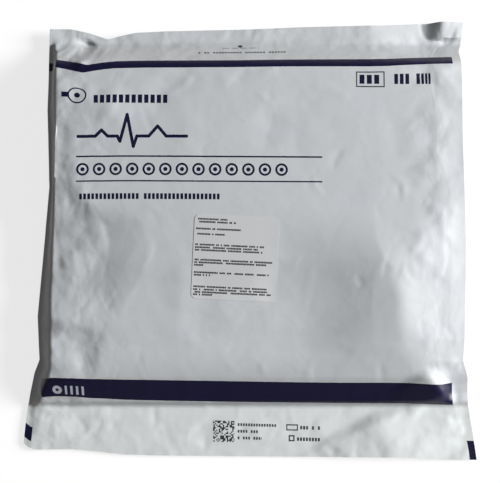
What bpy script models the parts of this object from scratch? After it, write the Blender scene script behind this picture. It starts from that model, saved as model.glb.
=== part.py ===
"""A sealed film pouch of ECG electrodes, lying on its back as it comes out of its carton.

The pouch is two panels of barrier film sealed along all four sides round a block of electrode cards.
The cards have slid to the left, so the left wall is steep and its seal is low. On the right the seal rides
high, and the film climbs to a crest near the lower right corner before it slopes down to it.
Each panel starts as a flat grid whose points are spaced evenly along the film, and is laid over the block.
A paper label is stuck on the front.
"""

import math

import bmesh
import bpy
import numpy as np

MM = 0.001

# The bag as it lies, in millimetres. X runs across it, Y from its bottom flap to its top flap.
BAG_WIDTH = 260.0
BAG_LENGTH = 254.5
TOP_SEAL = 13.0
SIDE_SEAL = 8.5
BOTTOM_FLAP = 30.0
FILM_PAIR = 0.45

# The block of cards inside, placed by how far its upper edges lie in from the edges of the bag. Its top is a
# shallow dome whose middle is at CROWN_X, CROWN_Y.
FILL_HEIGHT = 22.6
FILL_CROWN = 1.4
CROWN_X = 30.0
CROWN_Y = 17.0
LEFT_SHOULDER = 18.0
TOP_SHOULDER = 29.0
SHOULDER_ROUND = 4.0
EDGE_ROUND = 4.0

# The slope down to the right seal. Each list goes up the bag, as (share of its length, millimetres): how far in
# from the side the slope starts, the film's level there, and the level of the seal at the slope's foot.
RIGHT_SHOULDER = [(0.0, 26.0), (0.19, 28.0), (0.22, 34.0), (0.27, 39.0), (0.36, 41.0), (0.4, 43.0),
                  (0.45, 39.0), (0.49, 34.0), (0.53, 30.0), (0.6, 24.0), (1.0, 22.0)]
RIGHT_TOP = [(0.0, 15.0), (0.19, 16.4), (0.22, 20.6), (0.27, 24.0), (0.36, 25.0), (0.4, 25.0),
             (0.49, 24.3), (0.53, 24.0), (0.6, 23.2), (1.0, 23.0)]
RIGHT_SEAL = [(0.0, 6.0), (0.15, 8.0), (0.19, 13.0), (0.22, 16.0), (0.27, 18.8), (0.36, 19.3),
              (0.45, 19.4), (0.49, 20.2), (0.53, 21.0), (0.6, 22.0), (0.9, 22.0), (1.0, 14.0)]

# How steeply the right seal itself falls outward, as a rise over run, up the bag.
RIGHT_SEAL_TILT = [(0.0, 0.05), (0.19, 0.18), (0.27, 0.23), (0.56, 0.22), (0.64, 0.1), (1.0, 0.06)]

# The slope at the front, as (millimetres up from the bag's lower end, level).
FRONT_RAMP = [(34.0, 7.1), (47.0, 16.0), (64.0, 22.6), (90.0, 30.0)]

# The flat underside, by how far it lies in from the edges of the bag.
LEFT_FOOT = 22.0
RIGHT_FOOT = 52.0
TOP_FOOT = 36.0
BOTTOM_FOOT = 68.0

# On the left the front film comes down, and the back film comes up, within the width of the side seal, at
# these shares of it. Under the slopes the back film rises as a power of the way out to the seal.
LEFT_FOOT_IN_SEAL = 0.2
LEFT_SEAL_SHARE = 0.3
UNDERSIDE_CURVE = 1.6

# How high the other seals and the flap stand above the table. The top seal's level goes across the bag.
LEFT_SEAL_Z = 2.4
TOP_SEAL_LEVEL = [(0.0, 5.5), (0.3, 6.2), (0.77, 7.4), (0.9, 2.6), (1.0, 2.6)]
FLAP_Z = 1.6
LOWEST_FILM = 0.9

# The bottom flap drops off the film above it in one rolled step.
STEP_DROP = 5.5
STEP_RUN = 4.0

# The paper label.
LABEL_SIZE = 48.0
LABEL_CORNER = 3.0
LABEL_THICKNESS = 0.25
LABEL_TURN = -2.7
LABEL_FROM_LEFT = 121.5
LABEL_FROM_BOTTOM = 114.5
SEAT_GAP = 0.3

# How far apart the film's slope is measured.
SLOPE_STEP = 0.5

# The panels' grid, in cells, and the label's cells. Rows are spaced along lines kept inside the side seals.
INSIDE = 0.82
COLUMNS = 58
ROWS = 54
LABEL_CELLS = 8

# A fold's crest is rounded over this share of its reach, and its tips have this share of its full reach.
CREST_ROUND = 0.08
TIP_WIDTH = 0.4

# How far each edge is drawn in from the full rectangle, as (share of the way along it, millimetres).
LEFT_DRAWN_IN = [(0.0, 0.0), (0.04, 0.9), (0.07, 1.8), (0.13, 3.7), (0.18, 5.8), (0.21, 8.6),
                 (0.31, 7.2), (0.46, 10.2), (0.61, 13.0), (0.79, 11.3), (0.95, 12.4), (1.0, 12.6)]
RIGHT_DRAWN_IN = [(0.0, 0.3), (0.06, 2.4), (0.12, 5.1), (0.19, 5.8), (0.23, 9.2), (0.47, 7.4),
                  (0.69, 8.8), (0.92, 8.8), (0.95, 6.6), (1.0, 5.0)]
TOP_DRAWN_IN = [(0.0, 4.4), (0.05, 4.4), (0.09, 6.5), (0.14, 10.4), (0.18, 8.0), (0.21, 6.6),
                (0.28, 5.8), (0.48, 4.8), (0.61, 3.5), (0.79, 2.5), (0.93, 0.2), (1.0, 0.0)]
BOTTOM_DRAWN_IN = [(0.0, 9.5), (0.01, 7.4), (0.025, 5.8), (0.11, 6.1), (0.17, 4.6), (0.22, 3.1),
                   (0.30, 2.5), (0.61, 1.8), (0.86, 1.4), (0.92, 0.2), (1.0, 0.0)]

# Broad forms of the packed film, in millimetres from the bag's middle. Each follows a line up the bag: its points,
# the height on it, (reach, fall) to its left and to its right, and how far it takes to fade in and out along Y.
FORMS = {
    "crest": ([(108.1, -90.2), (102.8, -79.3), (94.5, -71.4), (90.4, -64.7), (89.1, -47.9),
        (87.0, -26.6), (82.0, -19.9), (75.2, -13.2), (71.4, -3.0), (69.9, 7.4), (70.1, 20.0)],
        3.3, (62.1, 4.7), (13.6, 0.3), (9.0, 35.0)),
    "oval_terrace": ([(-75.6, -53.5), (-72.9, -44.5), (-70.2, -32.1), (-64.0, -19.6),
        (-60.1, -9.4), (-61.3, 1.9), (-65.9, 11.0), (-72.7, 20.1)],
        0, (20.3, 2.6), (33.9, 0), (22.6, 16.9)),
    "shoulder_terrace": ([(-87.0, -14.9), (-86.5, -0.1), (-87.6, 8.9), (-90.9, 16.7),
        (-96.6, 22.4), (-102.4, 31.6), (-105.9, 38.5)], 0, (13.6, 1.7), (33.9, 0), (13.6, 13.6)),
    "side_terrace": ([(-103.1, -39.9), (-101.6, -30.8), (-100.0, -20.6), (-100.8, -9.1),
        (-102.7, -2.2)], 0, (8.5, 1), (16.9, 0), (9.0, 9.0)),
    "corner_terrace": ([(-85.7, -83.9), (-85.3, -73.7), (-85.8, -63.6), (-88.6, -54.6),
        (-92.7, -46.7)], 0, (9.0, 1.5), (16.9, 0), (2.3, 9.0)),
    "corner_facet": ([(-94.3, -83.9), (-94.4, -71.4), (-97.2, -62.4), (-104.1, -55.7),
        (-107.4, -51.2)], -0.2, (16.9, -0.9), (16.9, 0), (2.3, 6.8)),
}

# The larger folds in the front panel, in the same millimetres: the points along the fold, how far it reaches to the
# left and right of someone looking along it, its height (below zero for a valley), and the share of its length over
# which it dies away at each end.
FOLDS = {
    "slope_corner": ([(88.3, -67.0), (93.0, -72.1), (100.0, -76.0), (102.6, -82.8)],
        (10.4, 13.0), 0.72, 0.15),
    "ear_valley": ([(-93.8, 116.9), (-97.2, 109.2), (-100.0, 100.1)], (9.0, 6.8), -3.00, 0.15),
    "ear_ridge": ([(-115.5, 109.8), (-108.8, 106.2), (-101.2, 102.3)], (11.3, 12.0), -1.03, 0.2),
    "ear_dip": ([(-120.8, 121.8), (-114.8, 118.0), (-107.0, 112.6)], (6.0, 7.5), 0.47, 0.2),
    "ear_shelf": ([(-97.3, 113.0), (-86.9, 113.7), (-63.6, 112.9)], (8.6, 7.0), -0.78, 0.2),
    "ear_hollow": ([(-97.4, 108.8), (-92.7, 108.0), (-85.3, 104.9)], (12.3, 7.0), -0.77, 0.3),
    "ear_tuck": ([(-102.1, 99.5), (-97.9, 103.1), (-93.9, 98.1)], (7.0, 6.2), 0.84, 0.3),
    "corner_peak": ([(-113.8, 105.0), (-105.5, 100.0), (-97.4, 99.4)], (9.4, 8.6), -0.88, 0.25),
    "corner_hollow": ([(-113.7, 89.1), (-107.6, 84.0), (-100.6, 77.0)], (8.8, 11.7), 0.69, 0.3),
    "upper_left_facet": ([(-101.2, 83.1), (-93.2, 78.4), (-85.2, 72.6), (-77.0, 65.6)],
        (11.0, 13.0), 0.67, 0.25),
    "upper_left_glow": ([(-80.6, 88.5), (-78.2, 75.1), (-73.5, 61.8)], (13.0, 13.0), 0.68, 0.3),
    "wall_bulge": ([(-115.5, 71.2), (-109.0, 52.7), (-112.8, 34.7)], (10.4, 10.4), -0.73, 0.3),
    "wall_pleat": ([(-110.1, 43.4), (-109.4, 34.2), (-112.5, 28.8)], (7.0, 8.6), -0.66, 0.3),
    "shoulder_shine": ([(-111.1, 77.1), (-108.6, 65.5), (-110.8, 52.8)], (13.0, 13.0), -0.54, 0.3),
    "shoulder_wave": ([(-99.7, 12.3), (-99.2, 3.4), (-95.8, -4.6), (-97.3, -11.5)],
        (8.6, 10.4), 0.59, 0.3),
    "long_ridge": ([(-84.2, -5.6), (-90.9, -15.9), (-98.8, -27.2), (-102.0, -35.2)],
        (13.0, 13.0), -0.60, 0.25),
    "side_knot": ([(-113.0, -46.7), (-111.9, -53.4), (-114.1, -61.3)], (7.0, 7.0), -0.64, 0.3),
    "face_swell_low": ([(19.6, -12.1), (15.1, -28.0), (12.8, -42.6)], (13.0, 13.0), -0.51, 0.3),
    "low_blotch": ([(87.2, -58.3), (89.0, -65.0), (92.0, -69.5)], (10.4, 8.6), 0.78, 0.3),
    "seal_line_low": ([(108.5, 14.0), (109.0, -5.2), (108.8, -27.9)], (7.0, 10.4), 0.51, 0.15),
    "pocket_rise": ([(102.8, 12.9), (101.5, -0.8), (94.5, -13.3)], (13.0, 13.0), 0.81, 0.25),
    "upper_right_run_d": ([(102.6, 52.6), (105.9, 42.3), (104.6, 28.5)], (13.0, 8.6), 0.65, 0.3),
    "mid_right_run": ([(96.3, 40.7), (98.5, 32.7), (100.7, 23.6)], (13.0, 8.6), 0.50, 0.3),
    "corner_shine_foot": ([(98.0, 103.1), (99.4, 95.6), (96.9, 87.5)], (13.0, 8.6), -0.55, 0.3),
    "corner_shade": ([(110.5, 97.4), (109.3, 90.9), (105.8, 85.0)], (7.9, 7.0), 0.51, 0.3),
    "slope_shade": ([(117.5, -68.9), (121.1, -73.4), (124.7, -76.8)], (8.8, 8.6), -1.02, 0.3),
    "flap_fold": ([(111.7, 129.1), (111.6, 123.1), (111.6, 116.5)], (9.6, 1.7), 4.20, 0.1),
    "flap_fold_foot": ([(100.5, 127.8), (101.6, 121.8), (103.9, 117.7)], (2.3, 2.3), -0.63, 0.2),
    "flap_fold_hem": ([(102.1, 118.3), (106.9, 117.7), (112.2, 116.5)], (2.3, 2.8), -0.72, 0.2),
    "corner_flap": ([(114.9, 127.9), (114.2, 121.9), (113.6, 117.7)], (4.5, 12.3), 2.44, 0.2),
    "corner_flap_rim": ([(108.1, 117.1), (113.4, 120.1), (118.7, 117.7)], (4.8, 8.6), -1.04, 0.25),
    "flap_shine": ([(72.4, 109.5), (85.5, 111.8), (98.6, 112.9)], (7.0, 13.0), 0.47, 0.2),
    "flap_shine_side": ([(81.9, 116.5), (83.0, 110.5), (82.4, 105.8)], (7.0, 13.0), 0.50, 0.25),
    "flap_spot": ([(112.6, 123.7), (111.1, 118.6), (107.2, 112.7)], (6.3, 4.3), -1.04, 0.3),
    "seal_line_top": ([(-52.8, 111.1), (-6.3, 111.7), (52.1, 115.3), (90.9, 117.1)],
        (7.0, 5.2), 0.79, 0.1),
    "flap_wave_b": ([(-31.4, -105.8), (-25.6, -112.7), (-26.7, -120.6)], (13.0, 13.0), -0.48, 0.3),
    "flap_run7": ([(95.0, -114.6), (104.1, -121.4), (107.4, -130.5)], (13.0, 13.0), 0.48, 0.25),
    "flap_shoulder": ([(69.9, -98.9), (74.4, -109.2), (78.9, -121.7), (82.2, -138.7)],
        (56.5, 35.0), 2.80, 0.22),
    "flap_tip": ([(128.5, -100.4), (127.2, -109.5), (129.4, -120.9)], (13.0, 7.0), -1.41, 0.25),
    "fin_edge": ([(113.4, -74.0), (114.5, -83.1), (116.6, -94.7)], (7.0, 7.0), -0.55, 0.12),
}


def smooth_step(low, high, x):
    """0 below low, 1 above high, with an even ramp between."""
    t = np.clip((x - low) / (high - low), 0.0, 1.0)
    return t * t * (3.0 - 2.0 * t)


def soft_min(a, b, radius):
    """The lower of two surfaces, rounded where they meet."""
    share = np.clip(0.5 + 0.5 * (b - a) / radius, 0.0, 1.0)
    return b * (1.0 - share) + a * share - radius * share * (1.0 - share)


def soft_max(a, b, radius):
    return -soft_min(-a, -b, radius)


def read_stations(stations, place):
    """The value of a list of (place, value) stations at these places."""
    places = [station[0] for station in stations]
    values = [station[1] for station in stations]
    return np.interp(place, places, values)


def left_edge(y):
    return -BAG_WIDTH / 2 + read_stations(LEFT_DRAWN_IN, y / BAG_LENGTH + 0.5)


def right_edge(y):
    return BAG_WIDTH / 2 - read_stations(RIGHT_DRAWN_IN, y / BAG_LENGTH + 0.5)


def top_edge(x):
    return BAG_LENGTH / 2 - read_stations(TOP_DRAWN_IN, x / BAG_WIDTH + 0.5)


def bottom_edge(x):
    return -BAG_LENGTH / 2 + read_stations(BOTTOM_DRAWN_IN, x / BAG_WIDTH + 0.5)


def step_line():
    """Where the bottom flap starts."""
    return -BAG_LENGTH / 2 + BOTTOM_FLAP


def right_seal_height(y):
    return read_stations(RIGHT_SEAL, y / BAG_LENGTH + 0.5)


def top_seal_height(x):
    return read_stations(TOP_SEAL_LEVEL, x / BAG_WIDTH + 0.5)


def seal_height(x, y):
    """The level of the sealed margins, which the film comes down to all round."""
    across = smooth_step(-BAG_WIDTH / 2, BAG_WIDTH / 2, x)
    tilt = read_stations(RIGHT_SEAL_TILT, y / BAG_LENGTH + 0.5)
    right = right_seal_height(y) - tilt * np.maximum(x - right_edge(y) + SIDE_SEAL, 0.0)
    sides = LEFT_SEAL_Z + (right - LEFT_SEAL_Z) * across
    upper = smooth_step(BAG_LENGTH / 2 - 3 * TOP_SEAL, BAG_LENGTH / 2 - TOP_SEAL, y)
    level = sides + (top_seal_height(x) - sides) * upper
    lower = 1.0 - smooth_step(step_line(), step_line() + STEP_RUN, y)
    return level + (FLAP_Z - level) * lower


def right_shoulder(y):
    return BAG_WIDTH / 2 - read_stations(RIGHT_SHOULDER, y / BAG_LENGTH + 0.5)


def slope_from(edge_z, run, rise):
    """A straight slope that starts at edge_z and climbs past the block's top over this run."""
    return edge_z + (FILL_HEIGHT - edge_z) * rise / np.maximum(run, 1.0)


def ease_off(away):
    """A fall from 0 to 1 that starts sharply at the crest, keeps an even slope and ends softly."""
    return 1.0 - (1.0 - away) * (1.0 - away ** 2)


def form_lift(x, y):
    """What the broad forms add to the top of the block."""
    lift = np.zeros_like(x)
    for points, height, (left_reach, left_fall), (right_reach, right_fall), fades in FORMS.values():
        line_y = [point[1] for point in points]
        line_x = np.interp(y, line_y, [point[0] for point in points])
        fade_in = smooth_step(line_y[0], line_y[0] + fades[0], y)
        fade_out = 1.0 - smooth_step(line_y[-1] - fades[1], line_y[-1], y)
        to_left = ease_off(np.clip((line_x - x) / left_reach, 0.0, 1.0))
        to_right = ease_off(np.clip((x - line_x) / right_reach, 0.0, 1.0))
        lift += fade_in * fade_out * (height - left_fall * to_left - right_fall * to_right)
    return lift


def base_height(x, y):
    """The front panel without its folds."""
    half_width = BAG_WIDTH / 2
    half_length = BAG_LENGTH / 2
    across = (x - CROWN_X) / half_width
    along = (y - CROWN_Y) / half_length
    top = FILL_HEIGHT + FILL_CROWN * (0.5 - across ** 2 - along ** 2) + form_lift(x, y)

    left_foot = left_edge(y) + SIDE_SEAL * LEFT_FOOT_IN_SEAL
    left_run = -half_width + LEFT_SHOULDER - left_foot
    left = slope_from(LEFT_SEAL_Z, left_run, x - left_foot)

    right_foot = right_edge(y) - SIDE_SEAL
    right_rise = read_stations(RIGHT_TOP, y / BAG_LENGTH + 0.5) - right_seal_height(y)
    right = right_seal_height(y) + right_rise * (right_foot - x) / (right_foot - right_shoulder(y))

    upper_foot = half_length - TOP_SEAL
    upper = slope_from(top_seal_height(x), TOP_SHOULDER - TOP_SEAL, upper_foot - y)

    shelf = FLAP_Z + STEP_DROP * smooth_step(step_line(), step_line() + STEP_RUN, y)
    lower = shelf + read_stations(FRONT_RAMP, y + half_length) - FRONT_RAMP[0][1]

    height = soft_min(top, right, EDGE_ROUND)
    height = soft_min(height, upper, SHOULDER_ROUND)
    height = soft_min(height, lower, SHOULDER_ROUND)
    height = soft_min(height, left, SHOULDER_ROUND)
    return soft_max(height, seal_height(x, y), SHOULDER_ROUND / 2)


def fold_lift(x, y):
    """What the folds add to the front panel, as a lift along the film's own normal."""
    lift = np.zeros_like(x)
    for points, reach, height, taper in FOLDS.values():
        points = np.array(points)
        runs = np.hypot(*np.diff(points, axis=0).T)
        total = runs.sum()
        travelled = 0.0
        lying = abs(points[-1][0] - points[0][0]) > abs(points[-1][1] - points[0][1])
        nearest = np.full(x.shape, np.inf)
        aside = np.zeros_like(x)
        share = np.zeros_like(x)
        for start, end, run in zip(points, points[1:], runs):
            along_x, along_y = (end - start) / run
            spot = np.clip((x - start[0]) * along_x + (y - start[1]) * along_y, 0.0, run)
            off_x = x - start[0] - spot * along_x
            off_y = y - start[1] - spot * along_y
            gap = np.hypot(off_x, off_y)
            upward = along_x < 0 if lying else along_y > 0
            side = (off_x * along_y - off_y * along_x) * (1.0 if upward else -1.0)
            closer = gap < nearest
            nearest = np.where(closer, gap, nearest)
            aside = np.where(closer, np.where(side < 0, -gap, gap), aside)
            share = np.where(closer, (travelled + spot) / total, share)
            travelled += run
        fade = smooth_step(0.0, taper, share) * smooth_step(0.0, taper, 1.0 - share)
        width = np.where(aside < 0, reach[0], reach[1]) * (TIP_WIDTH + (1.0 - TIP_WIDTH) * fade)
        away = np.clip(np.hypot(aside / width, CREST_ROUND) - CREST_ROUND, 0.0, 1.0)
        lift += height * fade * (1.0 - ease_off(away))
    return lift


def front_points(x, y):
    """The front panel at plan points x, y: its folds stand along the normal of the smooth film."""
    height = base_height(x, y)
    slope_x = (base_height(x + SLOPE_STEP, y) - base_height(x - SLOPE_STEP, y)) / (2 * SLOPE_STEP)
    slope_y = (base_height(x, y + SLOPE_STEP) - base_height(x, y - SLOPE_STEP)) / (2 * SLOPE_STEP)
    length = np.sqrt(1.0 + slope_x ** 2 + slope_y ** 2)
    lift = fold_lift(x, y)
    fold_x = x - lift * slope_x / length
    fold_y = y - lift * slope_y / length
    fold_z = np.maximum(height + lift / length, LOWEST_FILM)
    return np.stack([fold_x, fold_y, fold_z], axis=-1)


def gathered(x, y):
    """0 where the back panel lies flat on the table, 1 where it meets the front panel in a seal."""
    half_width = BAG_WIDTH / 2
    half_length = BAG_LENGTH / 2
    left_run = -half_width + LEFT_FOOT - left_edge(y) - SIDE_SEAL * LEFT_SEAL_SHARE
    left = (-half_width + LEFT_FOOT - x) / left_run
    right = (x - half_width + RIGHT_FOOT) / (right_edge(y) - SIDE_SEAL - half_width + RIGHT_FOOT)
    upper = (y - half_length + TOP_FOOT) / (TOP_FOOT - TOP_SEAL)
    lower = (-half_length + BOTTOM_FOOT - y) / (BOTTOM_FOOT - BOTTOM_FLAP)
    return np.clip(np.maximum.reduce([left, right, upper, lower]), 0.0, 1.0)


def back_points(x, y):
    """The back panel: flat under the block, then drawn up to the underside of the seals."""
    front = front_points(x, y)
    share = gathered(x, y)
    back = np.stack([x, y, (front[..., 2] - FILM_PAIR) * share ** UNDERSIDE_CURVE], axis=-1)
    sealed = (share >= 1.0)[..., None]
    under_seal = front - np.array([0.0, 0.0, FILM_PAIR])
    return np.where(sealed, under_seal, back)


def spread_along(line_x, line_y, count):
    """Points along a line, count cells apart, spaced evenly over the film as it climbs and drops."""
    height = base_height(line_x, line_y)
    runs = np.sqrt(np.diff(line_x) ** 2 + np.diff(line_y) ** 2 + np.diff(height) ** 2)
    travelled = np.concatenate([[0.0], np.cumsum(runs)])
    stops = np.linspace(0.0, travelled[-1], count + 1)
    return np.interp(stops, travelled, line_x), np.interp(stops, travelled, line_y)


def plan_grid():
    """Plan points of the panels' grid, which fills the bag's drawn-in outline and follows its grain."""
    fine = np.linspace(0.0, 1.0, 900)
    x = np.zeros((COLUMNS + 1, ROWS + 1))
    y = np.zeros((COLUMNS + 1, ROWS + 1))
    for row, share in enumerate(np.linspace(-0.5, 0.5, ROWS + 1)):
        line_y = np.full_like(fine, BAG_LENGTH * share)
        line_x = left_edge(line_y) + fine * (right_edge(line_y) - left_edge(line_y))
        x[:, row] = spread_along(line_x, line_y, COLUMNS)[0]
    for column, share in enumerate(np.linspace(-0.5, 0.5, COLUMNS + 1)):
        line_x = np.full_like(fine, BAG_WIDTH * share)
        line_y = bottom_edge(line_x) + fine * (top_edge(line_x) - bottom_edge(line_x))
        y[column] = spread_along(line_x * INSIDE, line_y, ROWS)[1]
    return x, y


def add_panel(shape, points):
    """A grid of film whose vertices take these points, columns first."""
    columns, rows = points.shape[0] - 1, points.shape[1] - 1
    made = bmesh.ops.create_grid(shape, x_segments=columns, y_segments=rows, size=0.5)
    for vert in made["verts"]:
        column = round((vert.co.x + 0.5) * columns)
        row = round((vert.co.y + 0.5) * rows)
        vert.co = points[column, row] * MM
    return made["verts"]


def rim_of(verts):
    """The open edges round a panel."""
    edges = {edge for vert in verts for edge in vert.link_edges}
    return [edge for edge in edges if edge.is_boundary]


def plain_material(name, colour, roughness, coat=0.0):
    material = bpy.data.materials.new(name)
    material.use_nodes = True
    shader = material.node_tree.nodes["Principled BSDF"]
    shader.inputs["Base Color"].default_value = (*colour, 1.0)
    shader.inputs["Roughness"].default_value = roughness
    shader.inputs["Metallic"].default_value = 0.0
    shader.inputs["Coat Weight"].default_value = coat
    return material


def add_object(name, shape, material):
    """One closed, smooth-shaded piece, from a finished bmesh."""
    bmesh.ops.recalc_face_normals(shape, faces=shape.faces)
    mesh = bpy.data.meshes.new(name)
    shape.to_mesh(mesh)
    shape.free()
    mesh.shade_smooth()
    mesh.set_sharp_from_angle(angle=math.radians(50))
    mesh.materials.append(material)
    piece = bpy.data.objects.new(name, mesh)
    bpy.context.scene.collection.objects.link(piece)
    return piece


def make_pouch():
    """Front and back panel, bridged round the rim where the two films are sealed together."""
    x, y = plan_grid()
    shape = bmesh.new()
    front = add_panel(shape, front_points(x, y))
    back = add_panel(shape, back_points(x, y))
    bmesh.ops.bridge_loops(shape, edges=rim_of(front) + rim_of(back))
    on_table = [vert for vert in back if vert.co.z < 1e-9]
    flat_edges = {edge for vert in on_table for edge in vert.link_edges}
    bmesh.ops.dissolve_limit(shape, angle_limit=math.radians(0.2), verts=on_table, edges=list(flat_edges))
    bmesh.ops.triangulate(shape, faces=shape.faces)
    film = plain_material("white_barrier_film", (0.56, 0.57, 0.59), 0.36, coat=0.2)
    return add_object("pouch", shape, film)


def make_label():
    """A square of paper with round corners, pressed onto the front panel."""
    turn = math.radians(LABEL_TURN)
    centre_x = -BAG_WIDTH / 2 + LABEL_FROM_LEFT
    centre_y = -BAG_LENGTH / 2 + LABEL_FROM_BOTTOM
    shape = bmesh.new()
    bmesh.ops.create_grid(shape, x_segments=1, y_segments=1, size=LABEL_SIZE / 2)
    bmesh.ops.bevel(shape, geom=shape.verts[:], offset=LABEL_CORNER, offset_type="OFFSET", segments=4,
                    profile=0.5, affect="VERTICES", material=-1)
    for cut in range(1, LABEL_CELLS):
        place = LABEL_SIZE * (cut / LABEL_CELLS - 0.5)
        for normal in ((1, 0, 0), (0, 1, 0)):
            geometry = shape.verts[:] + shape.edges[:] + shape.faces[:]
            bmesh.ops.bisect_plane(shape, geom=geometry, plane_co=[place * side for side in normal], plane_no=normal)
    lower = shape.faces[:]
    made = bmesh.ops.extrude_face_region(shape, geom=lower, use_keep_orig=True)
    upper = {item for item in made["geom"] if isinstance(item, bmesh.types.BMVert)}
    for vert in shape.verts:
        x = centre_x + vert.co.x * math.cos(turn) - vert.co.y * math.sin(turn)
        y = centre_y + vert.co.x * math.sin(turn) + vert.co.y * math.cos(turn)
        seat = front_points(np.array([x]), np.array([y]))[0]
        lift = SEAT_GAP + (LABEL_THICKNESS if vert in upper else 0.0)
        vert.co = (x * MM, y * MM, (seat[2] + lift) * MM)
    bmesh.ops.triangulate(shape, faces=shape.faces)
    return add_object("applied_label", shape, plain_material("white_label_paper", (0.66, 0.66, 0.66), 0.6))


def centre_on_table(pieces):
    """Moves the pieces so that the middle of their box's underside is the origin."""
    corners = np.array([vert.co[:] for piece in pieces for vert in piece.data.vertices])
    low, high = corners.min(axis=0), corners.max(axis=0)
    for piece in pieces:
        for vert in piece.data.vertices:
            vert.co.x -= (low[0] + high[0]) / 2
            vert.co.y -= (low[1] + high[1]) / 2
            vert.co.z -= low[2]


def main():
    for old in list(bpy.data.objects):
        bpy.data.objects.remove(old, do_unlink=True)
    centre_on_table([make_pouch(), make_label()])


main()
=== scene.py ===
# A sealed film pouch of ECG electrodes, lying face up: its film, creases, print and paper label.
import math

import bmesh
import bpy
import numpy as np
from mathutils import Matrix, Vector


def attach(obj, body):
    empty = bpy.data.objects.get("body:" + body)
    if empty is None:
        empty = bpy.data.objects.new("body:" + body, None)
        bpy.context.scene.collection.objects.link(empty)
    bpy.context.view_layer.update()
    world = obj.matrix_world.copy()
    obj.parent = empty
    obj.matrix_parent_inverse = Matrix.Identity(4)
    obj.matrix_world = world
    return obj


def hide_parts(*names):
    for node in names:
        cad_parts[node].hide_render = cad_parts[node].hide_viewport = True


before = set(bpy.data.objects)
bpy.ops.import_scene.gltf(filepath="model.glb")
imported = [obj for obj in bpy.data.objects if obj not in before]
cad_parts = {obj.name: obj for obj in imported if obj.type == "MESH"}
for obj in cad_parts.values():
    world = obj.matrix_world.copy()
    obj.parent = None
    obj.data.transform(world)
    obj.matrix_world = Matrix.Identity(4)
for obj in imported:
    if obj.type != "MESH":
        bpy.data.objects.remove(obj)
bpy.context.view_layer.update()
print("stage: packed solids loaded")

mm = 0.001

# The bag as it lies, in millimetres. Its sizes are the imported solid's, apart from the film pair, the rounding
# where the top meets the right slope, the low end of the right seal, and how fine the grid is.
bag = {
    "width": 260.0, "length": 254.5,
    "topSeal": 13.0, "sideSeal": 8.5, "bottomFlap": 30.0, "filmPair": 0.4,
    "fillHeight": 22.6, "fillCrown": 1.4, "crownX": 30.0, "crownY": 17.0,
    "leftShoulder": 18.0, "topShoulder": 29.0,
    "shoulderRound": 4.0,
    "edgeRound": [(0.0, 3.0), (0.15, 1.2), (0.50, 1.2), (0.62, 4.0), (1.0, 4.0)],
    "rightShoulder": [(0.0, 26.0), (0.19, 28.0), (0.22, 34.0), (0.27, 39.0), (0.36, 41.0), (0.40, 43.0),
                      (0.45, 39.0), (0.49, 34.0), (0.53, 30.0), (0.60, 24.0), (1.0, 22.0)],
    "rightTop": [(0.0, 15.0), (0.19, 16.4), (0.22, 20.6), (0.27, 24.0), (0.36, 25.0), (0.40, 25.0),
                 (0.49, 24.3), (0.53, 24.0), (0.60, 23.2), (1.0, 23.0)],
    "lowerRamp": [(34.0, 7.1), (47.0, 16.0), (64.0, 22.6), (90.0, 30.0)],
    "leftFoot": 22.0, "rightFoot": 52.0, "topFoot": 36.0, "bottomFoot": 68.0,
    "leftSealZ": 2.4, "flapZ": 1.6, "lowestFilm": 0.9,
    "topSealLevel": [(0.0, 5.5), (0.3, 6.2), (0.77, 7.4), (0.9, 2.6), (1.0, 2.6)],
    "rightSeal": [(0.0, 5.0), (0.15, 5.0), (0.17, 7.0), (0.19, 10.5), (0.22, 15.6), (0.27, 18.8),
                  (0.36, 19.3), (0.45, 19.4), (0.49, 20.2), (0.53, 21.0), (0.60, 22.0), (0.90, 22.0),
                  (1.0, 14.0)],
    "rightSealTilt": [(0.0, 0.05), (0.19, 0.18), (0.27, 0.23), (0.56, 0.22), (0.64, 0.10), (1.0, 0.06)],
    "stepDrop": 5.5, "stepRun": 4.0,
    "topSealBlend": 3,        # the top seal's level is reached from this many seal widths below the edge
    "leftSealUnder": 0.2,     # the share of the left seal that the front panel's wall starts from
    "leftSealOver": 0.3,      # and the share of it that the back panel's gather reaches past the edge
    "gatherCurve": 1.6,       # how hollow the back panel's gather is
    "slopeStep": 0.5,
    "sharpAngle": 55.0,
    "inside": 0.82,           # rows are spaced along lines kept inside the side seals
    "columns": 210, "rows": 204, "finePoints": 1500,
    # how far each edge is drawn in: (share of the way along it, millimetres)
    "left": [(0.0, 0.0), (0.04, 0.9), (0.07, 1.8), (0.13, 3.7), (0.18, 5.8), (0.21, 8.6),
             (0.31, 7.2), (0.46, 10.2), (0.61, 13.0), (0.79, 11.3), (0.95, 12.4), (1.0, 12.6)],
    "right": [(0.0, 0.3), (0.06, 2.4), (0.12, 5.1), (0.19, 5.8), (0.23, 9.2), (0.47, 7.4),
              (0.69, 8.8), (0.92, 8.8), (0.95, 6.6), (1.0, 5.0)],
    "top": [(0.0, 4.4), (0.05, 4.4), (0.09, 6.5), (0.14, 10.4), (0.18, 8.0), (0.21, 6.6),
            (0.28, 5.8), (0.48, 4.8), (0.61, 3.5), (0.79, 2.5), (0.93, 0.2), (1.0, 0.0)],
    "bottom": [(0.0, 9.5), (0.01, 7.4), (0.025, 5.8), (0.11, 6.1), (0.17, 4.6), (0.22, 3.1),
               (0.30, 2.5), (0.61, 1.8), (0.86, 1.4), (0.92, 0.2), (1.0, 0.0)],
}


def easeOff(away):            # an even fall that starts sharply at the crest and ends softly
    return 1.0 - (1.0 - away) * (1.0 - away ** 2)


def easeOn(away):             # a fall that grows steeper down to a sharp foot
    return away * (0.6 + 0.4 * away)


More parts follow.
